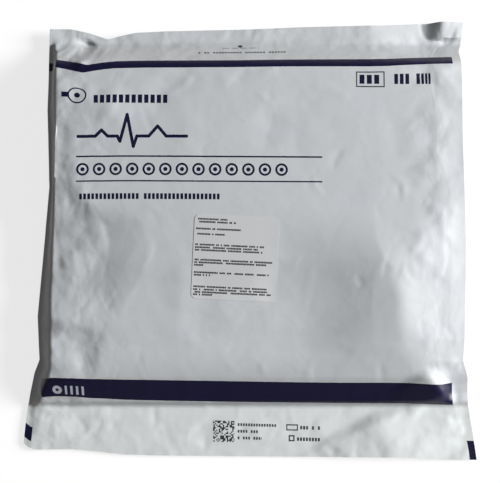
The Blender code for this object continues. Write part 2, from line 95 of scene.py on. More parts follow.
# Broad forms of the imported film, in millimetres from the middle of the bag: the points of a line from the
# bottom up, the height on it, (reach, fall) to its left and to its right, how far it takes to fade in and out
# along y, and how it falls. They were drawn on the photograph, and a script turned them into
# millimetres.
forms = {
    "crest": ([(108.1, -90.2), (102.9, -79.3), (94.5, -71.4), (90.4, -64.7), (89.1, -47.9),
        (87.0, -26.6), (81.9, -19.9), (75.2, -13.2), (71.4, -3.0), (69.9, 7.4), (70.1, 20.0)],
        3.3, (62.1, 4.7), (13.6, 0.3), (9.0, 35.0), easeOff),
    "ovalTerrace": ([(-75.3, -52.3), (-72.5, -43.3), (-67.5, -30.8), (-61.8, -22.4), (-59.0, -12.8),
        (-59.0, -2.6), (-60.7, 5.9), (-67.0, 14.4), (-72.7, 20.1)],
        0, (21.5, 1.9), (33.9, 0), (22.6, 14.7), easeOn),
    "innerCrest": ([(73.5, -83.9), (70.0, -59.1), (68.4, -42.3), (69.0, -28.3), (71.3, -12.1)],
        0, (49.7, 1.8), (33.9, 0), (24.9, 19.2), easeOff),
    "shoulderTerrace": ([(-87.0, -14.9), (-86.5, -0.1), (-87.6, 8.9), (-90.9, 16.7), (-96.6, 22.4),
        (-102.4, 31.6), (-105.9, 38.5)],
        0, (13.6, 1.7), (33.9, 0), (13.6, 13.6), easeOff),
    "sideTerrace": ([(-103.3, -39.8), (-101.8, -30.7), (-100.1, -20.5), (-100.8, -9.2), (-102.6, -2.2)],
        0, (8.5, 1), (16.9, 0), (9.0, 9.0), easeOff),
    "cornerTerrace": ([(-85.7, -83.9), (-85.4, -73.7), (-86.0, -63.6), (-88.9, -54.5), (-92.9, -46.6)],
        0, (9.0, 1.5), (16.9, 0), (2.3, 9.0), easeOff),
    "cornerFacet": ([(-94.3, -83.9), (-94.5, -71.4), (-97.5, -62.4), (-104.4, -55.6), (-107.7, -51.1)],
        -0.2, (16.9, -0.9), (16.9, 0), (2.3, 6.8), easeOff),
}

# Folds in the front film, in millimetres from the middle of the bag: the points along the fold, how far it
# reaches to its left and its right, its height (below zero for a valley), and the share of its length over
# which it dies away. The folds were drawn, but these numbers come from a fitting script: it moved and
# resized 129 of them and worked out their heights from the photograph's shading. Only earValley, flapFold,
# flapFoldFoot, flapFoldHem, flapShoulder, bandEndCrest and bandEndValley are as drawn, in millimetres.
folds = {
    "pocketRim": ([(73.6, -17.6), (79.7, -19.3), (85.4, -21.5)], (8.6, 12.3), -0.30, 0.2),
    "slopeRim": ([(87.9, -19.6), (96.0, -17.8), (103.0, -19.4), (109.9, -23.3)], (8.0, 13.0), 0.44, 0.2),
    "earValley": ([(-93.8, 116.9), (-97.2, 109.2), (-100.0, 100.1)], (9.0, 6.8), -3.00, 0.15),
    "earRidge": ([(-115.5, 109.8), (-108.8, 106.2), (-101.2, 102.3)], (11.3, 12.0), -1.03, 0.2),
    "earDip": ([(-120.8, 121.8), (-114.8, 118.0), (-107.0, 112.6)], (6.0, 7.5), 0.47, 0.2),
    "earShelf": ([(-97.3, 113.0), (-86.9, 113.7), (-63.6, 112.9)], (8.6, 7.0), -0.78, 0.2),
    "earHollow": ([(-97.4, 108.8), (-92.7, 108.0), (-85.3, 104.9)], (12.3, 7.0), -0.77, 0.3),
    "earTuck": ([(-102.1, 99.5), (-97.9, 103.1), (-93.9, 98.1)], (7.0, 6.2), 0.84, 0.3),
    "cornerPeak": ([(-113.8, 105.0), (-105.5, 100.0), (-97.4, 99.4)], (9.4, 8.6), -0.88, 0.25),
    "cornerHollow": ([(-113.7, 89.1), (-107.6, 84.0), (-100.6, 77.0)], (8.8, 11.7), 0.69, 0.3),
    "bandNick": ([(-74.5, 96.8), (-72.2, 93.9), (-69.3, 91.5)], (7.0, 8.6), 0.10, 0.4),
    "upperLeftFacet": ([(-101.2, 83.1), (-93.2, 78.4), (-85.2, 72.6),
        (-77.0, 65.6)], (11.0, 13.0), 0.67, 0.25),
    "upperLeftValley": ([(-90.6, 77.7), (-84.8, 70.7), (-77.9, 62.6)], (4.5, 4.9), -0.11, 0.3),
    "upperLeftGlow": ([(-80.6, 88.5), (-78.2, 75.1), (-73.5, 61.8)], (13.0, 13.0), 0.68, 0.3),
    "upperLeftLine": ([(-46.0, 96.1), (-51.6, 78.7), (-56.1, 64.8)], (13.0, 13.0), -0.41, 0.3),
    "wallBulge": ([(-115.5, 71.2), (-109.0, 52.7), (-112.8, 34.7)], (10.4, 10.4), -0.73, 0.3),
    "wallPleat": ([(-110.1, 43.4), (-109.4, 34.2), (-112.5, 28.8)], (7.0, 8.6), -0.66, 0.3),
    "shoulderTick": ([(-101.5, 41.8), (-98.1, 38.9), (-95.2, 36.6)], (6.2, 6.0), 0.35, 0.3),
    "shoulderShine": ([(-111.1, 77.1), (-108.6, 65.5), (-110.8, 52.8)], (13.0, 13.0), -0.54, 0.3),
    "shoulderRun": ([(-110.4, 28.6), (-105.8, 19.4), (-98.9, 10.4), (-92.1, 4.7)], (9.4, 8.8), 0.25, 0.2),
    "shoulderFacet": ([(-107.1, 31.5), (-104.7, 22.9), (-100.3, 15.6)], (3.9, 7.1), -0.15, 0.3),
    "sideDart": ([(-121.0, 2.4), (-115.0, 1.5), (-108.2, 2.6)], (10.4, 8.6), -0.34, 0.25),
    "sideDartValley": ([(-115.2, 9.0), (-111.9, 6.7), (-106.2, 5.6)], (6.0, 6.0), -0.27, 0.3),
    "shoulderWave": ([(-99.7, 12.3), (-99.2, 3.3), (-95.8, -4.7), (-97.3, -11.6)], (8.6, 10.4), 0.56, 0.3),
    "shoulderWaveBack": ([(-90.1, 12.3), (-91.4, 3.4), (-89.1, -3.5)], (8.6, 4.3), 0.18, 0.3),
    "ovalStreak": ([(-83.0, -22.5), (-79.5, -36.1), (-75.5, -49.7)], (13.0, 5.2), -0.18, 0.3),
    "ovalStreakFoot": ([(-84.9, -34.1), (-82.0, -39.2), (-79.2, -43.1)], (7.5, 5.2), -0.20, 0.35),
    "longRidge": ([(-83.1, -6.9), (-89.9, -17.1), (-97.9, -28.4),
        (-101.2, -36.3)], (13.0, 9.5), -0.55, 0.25),
    "longRidgeValley": ([(-107.7, -3.7), (-105.3, -15.1), (-104.2, -26.4)], (6.4, 4.8), 0.23, 0.3),
    "ridgeFoot": ([(-100.7, -25.0), (-101.8, -32.9), (-102.8, -37.5)], (4.1, 4.0), -0.21, 0.35),
    "sideSwell": ([(-113.5, -13.3), (-113.5, -30.4), (-111.8, -47.5)], (6.0, 5.3), -0.26, 0.3),
    "hollow": ([(-101.5, -35.7), (-96.8, -40.2), (-88.8, -43.6)], (7.7, 13.0), 0.26, 0.3),
    "lowTick": ([(-91.2, -53.1), (-87.8, -57.6), (-86.8, -62.1)], (6.0, 5.2), -0.19, 0.3),
    "lowDarkRun": ([(-91.6, -48.9), (-87.6, -59.0), (-85.9, -77.1)], (6.2, 4.4), -0.13, 0.15),
    "lowValley": ([(-95.3, -63.2), (-94.0, -72.3), (-94.0, -82.4)], (7.1, 8.8), -0.17, 0.2),
    "lowLeftCrest": ([(-116.5, -68.9), (-109.9, -58.7), (-106.4, -56.5)], (8.6, 9.0), -0.39, 0.25),
    "lowLeftFacet": ([(-100.7, -49.1), (-95.0, -58.1), (-92.6, -71.7)], (9.4, 7.3), 0.29, 0.15),
    "lowLeftShine": ([(-102.8, -63.6), (-101.5, -72.6), (-97.0, -79.4)], (7.5, 5.1), 0.18, 0.3),
    "cornerCurl": ([(-116.6, -77.0), (-113.1, -73.6), (-109.7, -74.7)], (7.0, 7.0), -0.28, 0.3),
    "cornerCurlValley": ([(-115.2, -78.7), (-111.7, -77.0), (-110.0, -79.2)], (5.2, 5.2), -0.32, 0.3),
    "sideKnot": ([(-114.0, -45.4), (-113.0, -52.2), (-115.0, -60.1)], (7.0, 7.0), -0.66, 0.3),
    "bandTuck": ([(-95.0, -74.1), (-92.7, -76.4), (-89.4, -78.6)], (2.8, 4.4), 0.09, 0.3),
    "topSealNick": ([(-33.6, 112.6), (-31.2, 109.4), (-27.6, 104.8)], (4.8, 7.3), -0.13, 0.3),
    "topMiddleFacet": ([(-2.6, 97.3), (-3.8, 92.5), (-7.8, 86.7)], (5.2, 5.2), -0.16, 0.2),
    "topMiddleFacetFoot": ([(-15.2, 95.5), (-14.6, 89.7), (-10.6, 86.2)], (7.0, 11.0), 0.17, 0.3),
    "topMiddleShade": ([(-34.5, 99.1), (-39.1, 89.8), (-41.3, 78.2)], (13.0, 13.0), -0.33, 0.3),
    "greyFold": ([(29.6, 79.0), (34.1, 73.2), (39.8, 66.2), (47.7, 59.3)], (8.6, 13.0), -0.14, 0.25),
    "greyFoldLip": ([(32.8, 86.7), (44.2, 84.4), (52.2, 80.9), (60.2, 78.6)], (5.6, 5.7), 0.16, 0.25),
    "faceLineHigh": ([(26.1, 84.8), (26.6, 66.2), (25.4, 42.0)], (13.0, 13.0), -0.24, 0.2),
    "faceSwellHigh": ([(7.9, 74.4), (10.2, 61.7), (6.8, 46.7)], (13.0, 13.0), -0.31, 0.3),
    "faceDipHigh": ([(16.4, 78.2), (15.4, 66.6), (16.4, 56.3)], (13.0, 13.0), -0.24, 0.3),
    "faceWaveA": ([(-34.5, 74.4), (-36.7, 54.7), (-38.9, 37.5)], (13.0, 13.0), 0.18, 0.3),
    "faceWaveB": ([(58.5, 43.2), (64.2, 28.3), (66.3, 14.6)], (13.0, 13.0), 0.14, 0.3),
    "faceWaveC": ([(71.8, 74.4), (73.9, 54.7), (74.8, 31.7), (71.2, 11.2)], (13.0, 13.0), 0.22, 0.25),
    "faceWaveD": ([(63.5, 74.3), (60.0, 54.7), (62.1, 37.4)], (13.0, 13.0), 0.13, 0.3),
    "labelShade": ([(-54.0, -1.1), (-55.0, -14.7), (-51.6, -22.6)], (13.0, 13.0), -0.13, 0.3),
    "labelValley": ([(-39.8, -13.9), (-38.7, -29.6), (-40.9, -45.5)], (13.0, 13.0), 0.35, 0.3),
    "labelRidge": ([(-38.0, -40.7), (-41.4, -53.1), (-43.5, -62.1)], (13.0, 9.9), 0.12, 0.3),
    "faceRunLow": ([(36.1, -12.2), (33.9, -25.7), (31.1, -35.8), (29.3, -48.2)], (8.6, 3.9), 0.08, 0.2),
    "faceRunLowRidge": ([(39.9, -20.6), (38.3, -35.2), (36.0, -47.6)], (12.3, 11.0), 0.15, 0.3),
    "faceSwellLow": ([(17.8, -12.1), (13.3, -27.9), (11.0, -42.6)], (13.0, 13.0), -0.39, 0.3),
    "dentLeft": ([(-35.6, -52.2), (-34.5, -57.9), (-35.0, -62.4)], (3.7, 3.7), 0.07, 0.3),
    "dentMiddle": ([(-26.7, -51.2), (-26.1, -55.7), (-26.1, -60.2)], (4.4, 5.2), 0.08, 0.3),
    "dentRise": ([(-26.2, -41.3), (-28.4, -50.3), (-25.0, -59.3)], (13.0, 13.0), -0.22, 0.3),
    "midFoldLow": ([(-17.6, -32.2), (-14.2, -43.5), (-4.0, -51.4)], (8.4, 13.0), 0.16, 0.25),
    "midFoldLowB": ([(4.6, -40.5), (10.3, -48.4), (9.1, -58.5)], (5.6, 10.4), 0.10, 0.3),
    "midFoldLowC": ([(-2.5, -57.6), (-0.3, -64.3), (4.2, -67.7)], (8.6, 8.0), -0.13, 0.3),
    "frontRidge": ([(-1.6, -67.9), (9.7, -65.1), (28.8, -64.5), (49.0, -64.5),
        (60.2, -66.7)], (5.1, 5.0), -0.17, 0.12),
    "frontLedge": ([(-87.1, -58.2), (-66.7, -58.2), (-38.5, -59.3),
        (-25.0, -59.3)], (5.5, 12.3), 0.21, 0.12),
    "frontDiamond": ([(-13.0, -61.7), (-8.5, -68.4), (-5.7, -72.9)], (7.3, 13.0), -0.15, 0.25),
    "frontDart": ([(-14.4, -70.7), (-11.1, -74.6), (-6.5, -78.6)], (3.4, 3.6), 0.07, 0.3),
    "frontTuck": ([(45.5, -71.5), (45.6, -77.1), (45.7, -83.4)], (4.3, 5.0), -0.05, 0.15),
    "frontTuckB": ([(77.5, -70.7), (77.6, -75.2), (77.8, -79.7)], (4.3, 7.0), 0.08, 0.2),
    "frontScoop": ([(60.7, -65.4), (67.6, -73.2), (78.9, -75.5)], (7.8, 5.7), 0.09, 0.3),
    "sealLineHigh": ([(109.7, 74.5), (110.0, 54.9), (109.8, 31.9), (110.0, 6.7)], (8.6, 8.6), 0.32, 0.1),
    "sealLineLow": ([(109.2, 14.0), (109.7, -5.2), (109.5, -27.9)], (7.0, 10.4), 0.54, 0.15),
    "rightCrease": ([(97.6, 20.2), (102.1, 17.4), (106.7, 15.7), (110.7, 12.9)], (6.1, 4.3), 0.22, 0.25),
    "rightCreaseHood": ([(99.9, 17.1), (105.6, 13.8), (111.3, 9.8)], (7.7, 7.0), 0.38, 0.3),
    "rightTick": ([(103.2, 27.0), (105.5, 22.5), (107.7, 20.2)], (5.2, 5.2), 0.16, 0.3),
    "rightPatch": ([(107.3, 10.4), (108.4, 4.1), (110.2, -1.5)], (6.0, 7.0), 0.34, 0.25),
    "rightPatchFoot": ([(100.4, -7.0), (105.1, -7.5), (110.9, -8.0)], (5.2, 5.1), 0.16, 0.3),
    "pocketDip": ([(84.2, 0.4), (86.8, -5.3), (90.8, -9.7)], (13.0, 10.4), -0.14, 0.3),
    "pocketRise": ([(103.7, 7.4), (102.4, -6.2), (95.4, -18.7)], (13.0, 13.0), 0.80, 0.25),
    "upperRightRun": ([(92.0, 67.4), (93.0, 54.7), (96.3, 42.1)], (11.7, 13.0), 0.35, 0.25),
    "upperRightRunB": ([(104.7, 81.6), (105.7, 70.0), (106.2, 58.5)], (11.0, 7.0), 0.41, 0.25),
    "upperRightRunC": ([(96.6, 75.1), (102.2, 64.7), (109.0, 55.5)], (13.0, 12.3), 0.37, 0.3),
    "upperRightRunD": ([(102.6, 53.8), (105.9, 43.5), (104.6, 29.7)], (13.0, 8.6), 0.67, 0.3),
    "midRightRun": ([(96.3, 43.7), (98.5, 35.7), (100.7, 26.6)], (13.0, 8.6), 0.51, 0.3),
    "cornerShine": ([(87.3, 102.8), (90.5, 92.1), (97.3, 85.7)], (7.5, 13.0), -0.28, 0.2),
    "cornerShineFoot": ([(98.0, 103.1), (99.4, 95.6), (96.9, 87.5)], (13.0, 8.6), -0.55, 0.3),
    "cornerShade": ([(110.5, 97.4), (109.3, 90.9), (105.8, 85.0)], (7.9, 7.0), 0.51, 0.3),
    "checkMark": ([(104.4, -77.9), (106.3, -80.2), (109.7, -77.9)], (5.2, 5.2), 0.32, 0.25),
    "checkMarkB": ([(102.7, -74.5), (104.0, -77.9), (104.8, -81.3)], (3.2, 4.4), 0.34, 0.3),
    "slopeShade": ([(116.6, -67.7), (120.2, -72.2), (123.9, -75.6)], (8.8, 8.6), -0.68, 0.3),
    "bandEndCrest": ([(98.6, -74.2), (101.8, -82.2), (105.6, -87.3),
        (111.6, -95.4)], (25.4, 6.8), 2.40, 0.3),
    "bandEndValley": ([(113.5, -78.2), (114.6, -83.4), (116.1, -89.7),
        (118.2, -96.6)], (6.2, 6.2), -0.60, 0.25),
    "flapFold": ([(112.3, 130.3), (112.1, 115.9)], (8.5, 22.6), 4.20, 0.16),
    "flapFoldFoot": ([(100.5, 127.8), (101.6, 121.8), (103.9, 117.7)], (2.3, 2.3), -0.63, 0.2),
    "flapFoldHem": ([(102.1, 118.3), (106.9, 117.7), (112.2, 116.5)], (2.3, 2.8), -0.72, 0.2),
    "cornerFlapRim": ([(109.8, 116.5), (115.2, 119.5), (120.5, 117.1)], (7.0, 8.6), -1.08, 0.25),
    "flapShine": ([(73.4, 109.5), (86.5, 111.8), (99.6, 112.9)], (7.0, 13.0), 0.46, 0.2),
    "flapShineSide": ([(81.9, 116.5), (83.0, 110.5), (82.4, 105.8)], (7.0, 13.0), 0.50, 0.25),
    "flapSpot": ([(109.1, 120.1), (107.6, 115.0), (103.7, 109.1)], (11.7, 7.0), 0.75, 0.3),
    "flapNick": ([(50.8, 114.2), (52.2, 109.3), (54.1, 104.0)], (3.4, 4.3), -0.06, 0.3),
    "flapNickB": ([(66.4, 120.1), (68.5, 116.5), (73.0, 114.3)], (6.0, 8.6), -0.19, 0.3),
    "flapNickC": ([(60.9, 107.0), (64.3, 105.5), (68.8, 104.8)], (5.2, 4.4), 0.08, 0.3),
    "flapPanelEdge": ([(-51.2, 122.2), (-50.6, 117.5), (-52.1, 111.8)], (5.2, 13.0), 0.19, 0.2),
    "flapSag": ([(1.4, 123.9), (9.6, 121.5), (17.7, 119.1)], (10.5, 13.0), -0.09, 0.3),
    "sealLineTop": ([(-52.8, 111.1), (-6.3, 111.7), (52.1, 115.3), (90.9, 117.1)], (7.0, 5.2), 0.80, 0.1),
    "leftTipFold": ([(-125.4, -93.1), (-119.6, -97.1), (-111.5, -101.1)], (4.1, 4.2), 0.25, 0.2),
    "leftTipRidge": ([(-124.8, -94.8), (-120.7, -97.2), (-115.5, -100.1)], (8.6, 6.0), 0.15, 0.25),
    "leftTipRidgeB": ([(-122.9, -94.7), (-117.1, -97.5), (-109.0, -100.9)], (4.0, 6.2), 0.18, 0.25),
    "leftFlapRidge": ([(-106.3, -104.1), (-111.3, -110.3), (-117.6, -118.3)], (6.0, 5.8), 0.21, 0.15),
    "leftFlapPanel": ([(-121.5, -101.6), (-120.8, -108.4), (-121.2, -114.6)], (5.2, 13.0), 0.44, 0.25),
    "leftFlapDip": ([(-100.1, -101.7), (-97.7, -107.4), (-94.2, -113.1)], (9.9, 7.6), -0.35, 0.25),
    "leftFlapEdge": ([(-84.1, -94.2), (-83.6, -100.0), (-84.7, -105.7)], (13.0, 5.2), 0.20, 0.2),
    "leftFlapCrease": ([(-90.2, -99.2), (-83.2, -100.9), (-74.0, -103.2)], (5.2, 8.6), 0.19, 0.25),
    "flapGlint": ([(-45.7, -105.3), (-50.3, -110.4), (-54.3, -117.2)], (6.2, 10.4), -0.14, 0.3),
    "flapGlintB": ([(-50.0, -114.6), (-47.8, -121.4), (-47.8, -128.2)], (8.6, 5.8), 0.14, 0.3),
    "flapGlintDip": ([(-49.6, -108.1), (-47.2, -114.9), (-46.1, -121.7)], (6.0, 5.1), -0.13, 0.3),
    "flapWaveB": ([(-31.4, -105.8), (-25.6, -112.7), (-26.7, -120.6)], (13.0, 13.0), -0.48, 0.3),
    "flapWaveC": ([(1.2, -103.8), (3.5, -109.5), (7.0, -117.5)], (10.4, 13.0), 0.42, 0.3),
    "flapRun1": ([(37.4, -103.8), (40.2, -110.6), (47.0, -119.7)], (8.6, 13.0), 0.36, 0.2),
    "flapRun2": ([(52.0, -118.4), (53.8, -122.9), (56.5, -128.0)], (3.8, 7.0), 0.10, 0.3),
    "flapRun3": ([(52.1, -107.7), (62.5, -112.3), (70.5, -119.1), (76.0, -130.5)], (13.0, 5.0), -0.23, 0.2),
    "flapRun4": ([(71.0, -112.1), (72.7, -118.9), (77.2, -127.4)], (4.3, 8.7), -0.18, 0.2),
    "flapRun5": ([(81.2, -114.5), (88.0, -121.3), (89.1, -129.3)], (11.2, 8.8), 0.25, 0.25),
    "flapRun6": ([(89.5, -117.9), (94.0, -122.4), (99.7, -129.2)], (7.0, 7.0), 0.20, 0.25),
    "flapRun7": ([(94.0, -114.6), (103.1, -121.4), (106.4, -130.5)], (13.0, 13.0), 0.46, 0.25),
    "flapRun8": ([(103.7, -108.4), (110.5, -114.1), (113.8, -122.0)], (6.2, 13.0), -0.09, 0.25),
    "flapRun9": ([(120.0, -111.9), (119.9, -117.5), (122.1, -124.3)], (8.6, 8.6), -0.48, 0.25),
    "flapRun10": ([(114.3, -101.5), (109.7, -110.6), (108.5, -115.1)], (10.4, 7.2), 0.26, 0.25),
    "flapShoulder": ([(69.9, -98.9), (74.4, -109.2), (78.9, -121.7),
        (82.2, -138.7)], (56.5, 35.0), 2.80, 0.22),
    "flapTip": ([(127.6, -100.4), (126.3, -109.5), (128.4, -120.9)], (13.0, 7.0), -1.09, 0.25),
    "finFoot": ([(114.1, -100.8), (118.2, -103.6), (122.7, -107.1)], (10.4, 6.0), -0.27, 0.2),
    "finCrease": ([(118.5, -87.8), (122.0, -87.9), (126.0, -87.9)], (5.1, 5.1), -0.14, 0.25),
}


def smoothStep(low, high, x):
    t = np.clip((x - low) / (high - low), 0.0, 1.0)
    return t * t * (3.0 - 2.0 * t)


def softMin(a, b, radius):    # the lower of two surfaces, rounded where they meet
    share = np.clip(0.5 + 0.5 * (b - a) / radius, 0.0, 1.0)
    return b * (1.0 - share) + a * share - radius * share * (1.0 - share)


def softMax(a, b, radius):
    return -softMin(-a, -b, radius)


def readStations(stations, share):
    return np.interp(share, [s[0] for s in stations], [s[1] for s in stations])


def leftEdge(y):
    return -bag["width"] / 2 + readStations(bag["left"], y / bag["length"] + 0.5)


def rightEdge(y):
    return bag["width"] / 2 - readStations(bag["right"], y / bag["length"] + 0.5)


def topEdge(x):
    return bag["length"] / 2 - readStations(bag["top"], x / bag["width"] + 0.5)


def bottomEdge(x):
    return -bag["length"] / 2 + readStations(bag["bottom"], x / bag["width"] + 0.5)


def rightShoulder(y):
    return bag["width"] / 2 - readStations(bag["rightShoulder"], y / bag["length"] + 0.5)


def rightSealHeight(y):
    return readStations(bag["rightSeal"], y / bag["length"] + 0.5)


def topSealHeight(x):
    return readStations(bag["topSealLevel"], x / bag["width"] + 0.5)


def sealHeight(x, y):         # the level of the sealed margins
    stepLine = -bag["length"] / 2 + bag["bottomFlap"]
    across = smoothStep(-bag["width"] / 2, bag["width"] / 2, x)
    tilt = readStations(bag["rightSealTilt"], y / bag["length"] + 0.5)
    right = rightSealHeight(y) - tilt * np.maximum(x - rightEdge(y) + bag["sideSeal"], 0.0)
    sides = bag["leftSealZ"] + (right - bag["leftSealZ"]) * across
    upper = smoothStep(bag["length"] / 2 - bag["topSealBlend"] * bag["topSeal"],
                       bag["length"] / 2 - bag["topSeal"], y)
    level = sides + (topSealHeight(x) - sides) * upper
    lower = 1.0 - smoothStep(stepLine, stepLine + bag["stepRun"], y)
    return level + (bag["flapZ"] - level) * lower


def slopeFrom(edgeZ, run, rise):
    return edgeZ + (bag["fillHeight"] - edgeZ) * rise / np.maximum(run, 1.0)


def formLift(x, y):           # each form follows a line up the bag and falls away to its left and right
    lift = np.zeros_like(x)
    for points, height, (leftReach, leftFall), (rightReach, rightFall), fades, ease in forms.values():
        lineY = [point[1] for point in points]
        lineX = np.interp(y, lineY, [point[0] for point in points])
        fadeIn = smoothStep(lineY[0], lineY[0] + fades[0], y)
        fade = fadeIn * (1.0 - smoothStep(lineY[-1] - fades[1], lineY[-1], y))
        toLeft = ease(np.clip((lineX - x) / leftReach, 0.0, 1.0))
        toRight = ease(np.clip((x - lineX) / rightReach, 0.0, 1.0))
        lift += fade * (height - leftFall * toLeft - rightFall * toRight)
    return lift


def baseHeight(x, y):         # the front panel without its folds
    halfWidth, halfLength = bag["width"] / 2, bag["length"] / 2
    across, along = (x - bag["crownX"]) / halfWidth, (y - bag["crownY"]) / halfLength
    top = bag["fillHeight"] + bag["fillCrown"] * (0.5 - across ** 2 - along ** 2) + formLift(x, y)
    leftFoot = leftEdge(y) + bag["sideSeal"] * bag["leftSealUnder"]
    left = slopeFrom(bag["leftSealZ"], -halfWidth + bag["leftShoulder"] - leftFoot, x - leftFoot)
    rightFoot = rightEdge(y) - bag["sideSeal"]
    rightRise = readStations(bag["rightTop"], y / bag["length"] + 0.5) - rightSealHeight(y)
    right = rightSealHeight(y) + rightRise * (rightFoot - x) / (rightFoot - rightShoulder(y))
    upper = slopeFrom(topSealHeight(x), bag["topShoulder"] - bag["topSeal"], halfLength - bag["topSeal"] - y)
    stepLine = -halfLength + bag["bottomFlap"]
    shelf = bag["flapZ"] + bag["stepDrop"] * smoothStep(stepLine, stepLine + bag["stepRun"], y)
    ramp = readStations(bag["lowerRamp"], y + halfLength) - bag["lowerRamp"][0][1]
    lower = shelf + ramp
    height = softMin(top, right, readStations(bag["edgeRound"], y / bag["length"] + 0.5))
    height = softMin(height, upper, bag["shoulderRound"])
    height = softMin(height, lower, bag["shoulderRound"])
    height = softMin(height, left, bag["shoulderRound"])
    return softMax(height, sealHeight(x, y), bag["shoulderRound"] / 2)


foldCrispness = 0.08          # how round a crest is, as a share of the fold's reach
foldNarrow = 0.4              # how narrow a fold is where it dies away, as a share of its reach


def foldLift(x, y, table):    # each fold is a crease with hollow flanks, as stiff film bends
    lift = np.zeros_like(x)
    for points, reach, height, taper in table:
        points = np.array(points)
        widest = max(reach)
        low, high = points.min(axis=0) - widest, points.max(axis=0) + widest
        near = (x > low[0]) & (x < high[0]) & (y > low[1]) & (y < high[1])
        if not near.any():
            continue
        px, py = x[near], y[near]
        runs = np.hypot(*np.diff(points, axis=0).T)
        total, travelled = runs.sum(), 0.0
        lying = abs(points[-1][0] - points[0][0]) > abs(points[-1][1] - points[0][1])   # then left is below
        best = np.full(px.shape, 1e9)
        aside, share = np.zeros_like(px), np.zeros_like(px)
        for start, end, run in zip(points, points[1:], runs):
            alongX, alongY = (end - start) / run
            spot = np.clip((px - start[0]) * alongX + (py - start[1]) * alongY, 0.0, run)
            offX, offY = px - start[0] - spot * alongX, py - start[1] - spot * alongY
            gap = np.hypot(offX, offY)
            side = offX * alongY - offY * alongX
            side = side * (1.0 if (alongX < 0 if lying else alongY > 0) else -1.0)
            closer = gap < best
            best = np.where(closer, gap, best)
            aside = np.where(closer, np.where(side < 0, -gap, gap), aside)
            share = np.where(closer, (travelled + spot) / total, share)
            travelled += run
        fade = smoothStep(0.0, taper, share) * smoothStep(0.0, taper, 1.0 - share)
        width = np.where(aside < 0, reach[0], reach[1]) * (foldNarrow + (1.0 - foldNarrow) * fade)
        away = np.clip(np.hypot(aside / width, foldCrispness) - foldCrispness, 0.0, 1.0)
        lift[near] += height * fade * (1.0 - away) * (1.0 - away ** 2)
    return lift


def frontPoints(x, y):
    step = bag["slopeStep"]
    height = baseHeight(x, y)
    slopeX = (baseHeight(x + step, y) - baseHeight(x - step, y)) / (2 * step)
    slopeY = (baseHeight(x, y + step) - baseHeight(x, y - step)) / (2 * step)
    steepness = np.sqrt(1.0 + slopeX ** 2 + slopeY ** 2)
    lift = foldLift(x, y, folds.values()) + foldLift(x, y, fineFolds)
    z = np.maximum(height + lift / steepness, bag["lowestFilm"])
    return np.stack([x - lift * slopeX / steepness, y, z], axis=-1)


def gathered(x, y):           # 0 where the back panel lies flat, 1 where it meets the front in a seal
    halfWidth, halfLength = bag["width"] / 2, bag["length"] / 2
    leftRun = -halfWidth + bag["leftFoot"] - leftEdge(y) - bag["sideSeal"] * bag["leftSealOver"]
    left = (-halfWidth + bag["leftFoot"] - x) / leftRun
    rightRun = rightEdge(y) - bag["sideSeal"] - halfWidth + bag["rightFoot"]
    right = (x - halfWidth + bag["rightFoot"]) / rightRun
    upper = (y - halfLength + bag["topFoot"]) / (bag["topFoot"] - bag["topSeal"])
    lower = (-halfLength + bag["bottomFoot"] - y) / (bag["bottomFoot"] - bag["bottomFlap"])
    return np.clip(np.maximum.reduce([left, right, upper, lower]), 0.0, 1.0)


def backPoints(x, y, front):
    share = gathered(x, y)
    back = np.stack([x, y, (front[..., 2] - bag["filmPair"]) * share ** bag["gatherCurve"]], axis=-1)
    underSeal = front - np.array([0.0, 0.0, bag["filmPair"]])
    return np.where((share >= 1.0)[..., None], underSeal, back)


def spreadAlong(lineX, lineY, count):     # points spaced evenly over the film as it climbs and drops
    height = baseHeight(lineX, lineY)
    runs = np.sqrt(np.diff(lineX) ** 2 + np.diff(lineY) ** 2 + np.diff(height) ** 2)
    travelled = np.concatenate([[0.0], np.cumsum(runs)])
    stops = np.linspace(0.0, travelled[-1], count + 1)
    return np.interp(stops, travelled, lineX), np.interp(stops, travelled, lineY)


def planGrid(columns, rows):
    fine = np.linspace(0.0, 1.0, bag["finePoints"])
    x, y = np.zeros((columns + 1, rows + 1)), np.zeros((columns + 1, rows + 1))
    for row, share in enumerate(np.linspace(-0.5, 0.5, rows + 1)):
        lineY = np.full_like(fine, bag["length"] * share)
        lineX = leftEdge(lineY) + fine * (rightEdge(lineY) - leftEdge(lineY))
        x[:, row] = spreadAlong(lineX, lineY, columns)[0]
    for column, share in enumerate(np.linspace(-0.5, 0.5, columns + 1)):
        lineX = np.full_like(fine, bag["width"] * share)
        lineY = bottomEdge(lineX) + fine * (topEdge(lineX) - bottomEdge(lineX))
        y[column] = spreadAlong(lineX * bag["inside"], lineY, rows)[1]
    return x, y


# Small creases that handling leaves in stiff film, scattered where the film is slack.
crumple = {
    "seed": 11, "count": 420, "reach": (1.2, 5.0), "steepness": (0.015, 0.07), "length": (5.0, 26.0),
    "taper": 0.4, "turnSpread": 0.65, "bend": 0.12,
    # how slack the film is, in shares of its width and length: (from, over) at each side, and everywhere else
    "leftSlack": 0.26, "rightSlack": (0.76, 0.24), "footSlack": 0.2, "topSlack": (0.88, 0.12),
    "middleSlack": 0.05,
}


